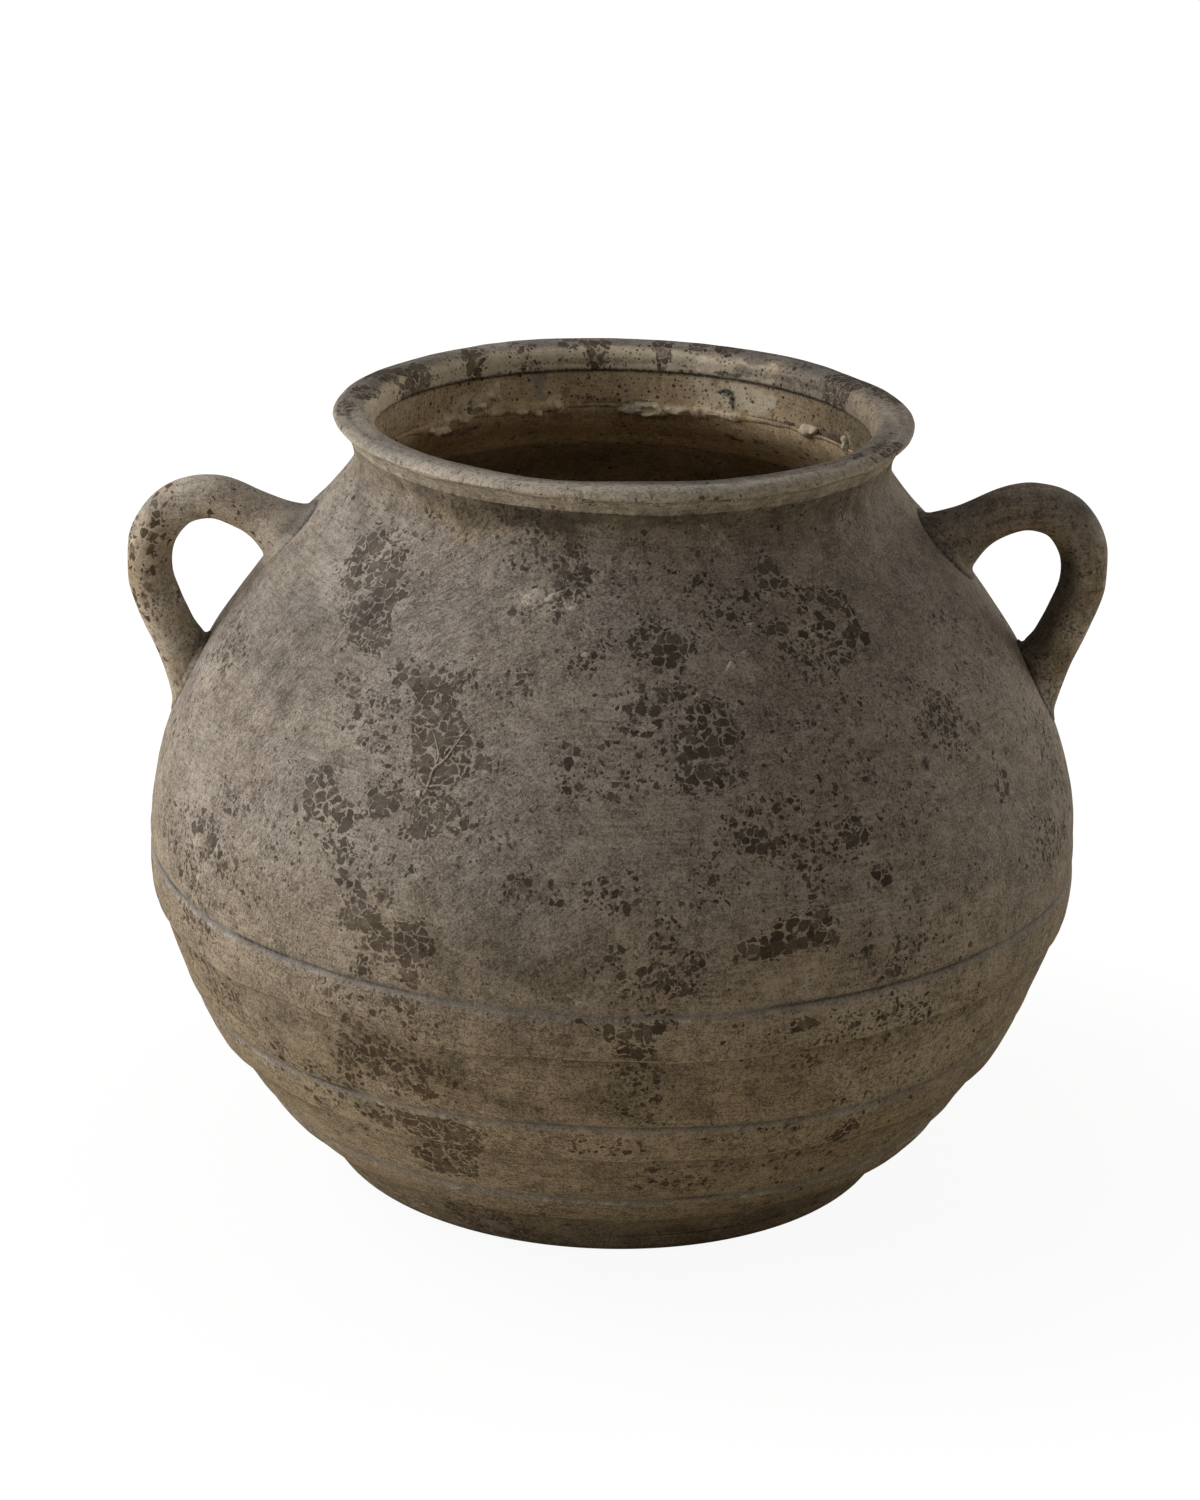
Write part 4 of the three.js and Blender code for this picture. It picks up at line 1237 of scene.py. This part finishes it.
def crack(route, half_width, lift):
    """A raised crack: a low roll of clay along a route of azimuths and heights on the outer wall."""
    line = catmull_rom(np.array(route, float), 12)
    azimuth, height = np.radians(line[:, 0]), line[:, 1]
    ahead = unit(np.stack([np.gradient(azimuth) * wall_radius(height), np.gradient(along_wall(height))], axis=1))
    turn = np.linspace(0, TURN, 12, endpoint=False)[:, None]
    taper = np.interp(np.linspace(0, 1, len(line)), [0, 0.08, 0.3, 0.9, 1], [0.6, 1.3, 0.9, 0.45, 0.2])
    side = half_width * taper * np.cos(turn)
    at = azimuth - side * ahead[:, 1] / wall_radius(height)
    up = along_by(height, side * ahead[:, 0])
    return on_wall(at, up, lift * taper * np.sin(turn) - 0.1)


def shells(name, grids, clay, marks):
    """Several small closed skins as one visible piece."""
    points, faces, count = [], [], 0
    for grid in grids:
        own = capped_faces(*grid.shape[:2])
        flat = grid.reshape(-1, 3)
        middle = flat.mean(axis=0)
        volume = sum(np.dot(flat[f[0]] - middle, np.cross(flat[f[1]] - middle, flat[f[2]] - middle)) for f in own)
        faces += [tuple(i + count for i in (f if volume > 0 else f[::-1])) for f in own]
        points.append(flat)
        count += len(flat)
    points = np.concatenate(points)
    build(name, points, faces, clay, marks(points), replaces=False)


# Pale flakes and cracks on the shoulder: azimuth, height, half width, half height, tilt, thickness, raggedness
SCABS = [
    (-15.5, 292, 4.5, 2.6, 20, 0.7, 0.45), (-11.5, 293.5, 4.2, 1.0, 35, 0.6, 0.4),
    (-8, 290.5, 3.0, 2.2, -30, 0.6, 0.4), (17.5, 270.5, 2.6, 5.2, -35, 0.6, 0.45),
    (20, 274.5, 3.6, 1.6, 30, 0.6, 0.4), (-5.1, 275.3, 2.2, 1.2, 0, 0.5, 0.4), (23, 284, 3.0, 1.3, 0, 0.5, 0.4),
    (-25.2, 222.2, 1.3, 1.5, 0, 0.9, 0.2), (12, 262, 2.5, 1.2, 20, 0.4, 0.4), (-60, 171, 3, 6, 0, 0.5, 0.4),
    (-26, 176, 2.5, 3, 0, 0.5, 0.4), (60, 203, 1.5, 3, 0, 0.5, 0.4), (6, 331.5, 4, 1.4, 0, 0.5, 0.4),
    (-8, 331.5, 5, 1.5, 0, 0.5, 0.4), (21, 331.5, 4, 1.3, 0, 0.5, 0.4),
]
CRACKS = [
    ([(-24.6, 221.6), (-24.2, 224), (-23.9, 231.3), (-22.7, 235.4), (-21.2, 244), (-20.0, 249)], 0.7, 0.8),
    ([(-23.8, 233), (-23.8, 236.5), (-24.9, 241.8), (-26.1, 245.5)], 0.42, 0.42),
    ([(-24.0, 225), (-22.6, 226.2), (-21.4, 226.2), (-18.7, 226.6)], 0.5, 0.5),
    ([(-12.8, 293.4), (-10.5, 294.8), (-8.2, 297.9)], 0.45, 0.5),
    ([(-23.0, 237), (-22.4, 240), (-20.2, 241)], 0.4, 0.4),
    ([(-48.5, 262), (-47.5, 270), (-49, 279), (-47, 286)], 0.4, 0.35),
]


def scab_marks(points):
    return {"dust": np.clip(0.8 + 0.3 * fleck_field(points), 0, 1)}


scab_grids = [scab(False, *row) for row in SCABS] + [crack(*row) for row in CRACKS]
shells("shoulder_scabs", scab_grids, body_clay, scab_marks)

# Lumps of pale clay on the inside of the neck, placed alike
NECK_LUMPS = [
    (171, 308.6, 15, 2.9, 2, 4.2, 0.22), (160.5, 309, 8, 1.6, -6, 2.2, 0.3), (-147, 317, 5, 4.6, 20, 2.2, 0.4),
    (-143, 311, 4.5, 3.5, 0, 2.0, 0.4), (-131, 305.8, 10, 2.2, -8, 4.0, 0.3), (-137.5, 309, 6, 3, -20, 1.8, 0.35),
    (-154.5, 308, 3.2, 1.8, 0, 2.6, 0.3), (-164, 309, 3.6, 3.0, 0, 3.0, 0.3), (-159, 306.8, 2, 1.3, 0, 2.4, 0.3),
    (130.5, 310.8, 4.6, 2.6, 10, 2.4, 0.35), (115.2, 311.2, 2.6, 4.6, 25, 2.4, 0.3),
]


# The lumps are painted darker on the right of the inside, as shade
def lump_marks(points):
    return {
        "cream": np.clip(1.0 + 0.3 * fleck_field(points), 0, 1),
        "soot": 0.9 * inner_patches(INNER_SOOT_AND_SHADE, points),
        "smoke": 0.45 * right_side(points),
    }


shells("neck_lumps", [scab(True, *row) for row in NECK_LUMPS], squeezed_clay, lump_marks)

# The camera, as measured against the photograph: it looks down at the vase from the front
EYE = np.array([0.0, -1.76958, 0.82279])
PITCH = 0.3469168
YAW = -0.0035760
ROLL = 0.0272693
LENS = 103.525
SENSOR = 36
FLOOR_REACH = 12


def front_camera():
    data = bpy.data.cameras.new("front_camera")
    data.lens = LENS
    data.sensor_width = SENSOR
    data.sensor_fit = "AUTO"
    data.clip_end = 50
    camera = placed("front_camera", data)
    right = np.array([math.cos(YAW), -math.sin(YAW), 0])
    ahead = np.array([math.sin(YAW) * math.cos(PITCH), math.cos(YAW) * math.cos(PITCH), -math.sin(PITCH)])
    up = np.array([math.sin(YAW) * math.sin(PITCH), math.cos(YAW) * math.sin(PITCH), math.cos(PITCH)])
    own_x = right * math.cos(ROLL) + up * math.sin(ROLL)
    own_y = up * math.cos(ROLL) - right * math.sin(ROLL)
    turn = Matrix([own_x, own_y, -ahead]).transposed().to_4x4()
    camera.matrix_world = Matrix.Translation(Vector(EYE)) @ turn
    bpy.context.scene.camera = camera


# The lamps: place, power and colour
LAMPS = {
    "key": ((-1.78, 0.31, 1.44), 24, (1, 1, 1)),
    "side": ((-2.12, -0.57, 0.37), 21, (1, 1, 1)),
    "right": ((1.79, 1.26, 0.37), 16.5, (1, 0.95, 0.86)),
}
LAMP_SIZE = 1.2
LIT_PLACE = (0, 0, 0.18)


def softbox(name, place, power, colour):
    data = bpy.data.lights.new(name, "AREA")
    data.shape = "RECTANGLE"
    data.size = data.size_y = LAMP_SIZE
    data.energy = power
    data.color = colour
    light = placed(name, data)
    light.location = place
    light.rotation_euler = (Vector(LIT_PLACE) - Vector(place)).to_track_quat("-Z", "Y").to_euler()


def studio():
    """A white sweep that shows a faint shadow and throws little light back, and soft lamps round it."""
    material = bpy.data.materials.new("pale_floor")
    s = Shader(material)
    far = s.put("VectorMath", s.put("TexCoord", output="Object"), output="Value", operation="LENGTH")
    white = s.put("Emission", named=dict(Strength=s.step(far, 0.15, 0.6, 0.93, 1.0)))
    seen = s.put("AddShader", s.put("BsdfDiffuse", (0.1, 0.1, 0.1, 1)), white)
    dim = s.put("BsdfDiffuse", (0.80, 0.72, 0.55, 1))
    s.node("OutputMaterial", s.put("MixShader", s.put("LightPath", output="Is Camera Ray"), dim, seen))
    mesh = bpy.data.meshes.new("floor")
    corners = [(x * FLOOR_REACH, y * FLOOR_REACH, 0) for x, y in ((-1, -1), (1, -1), (1, 1), (-1, 1))]
    mesh.from_pydata(corners, [], [(0, 1, 2, 3)])
    mesh.materials.append(material)
    placed("floor", mesh)

    world = bpy.data.worlds.new("studio")
    bpy.context.scene.world = world
    s = Shader(world)
    weak = s.put("Background", (1, 0.95, 0.89, 1), 0.2)
    shown = s.put("Background", (1, 1, 1, 1), 1)
    s.node("OutputWorld", s.put("MixShader", s.put("LightPath", output="Is Camera Ray"), weak, shown))

    for name, lamp in LAMPS.items():
        softbox(name, *lamp)


front_camera()
studio()
bpy.context.scene.view_settings.view_transform = "Standard"
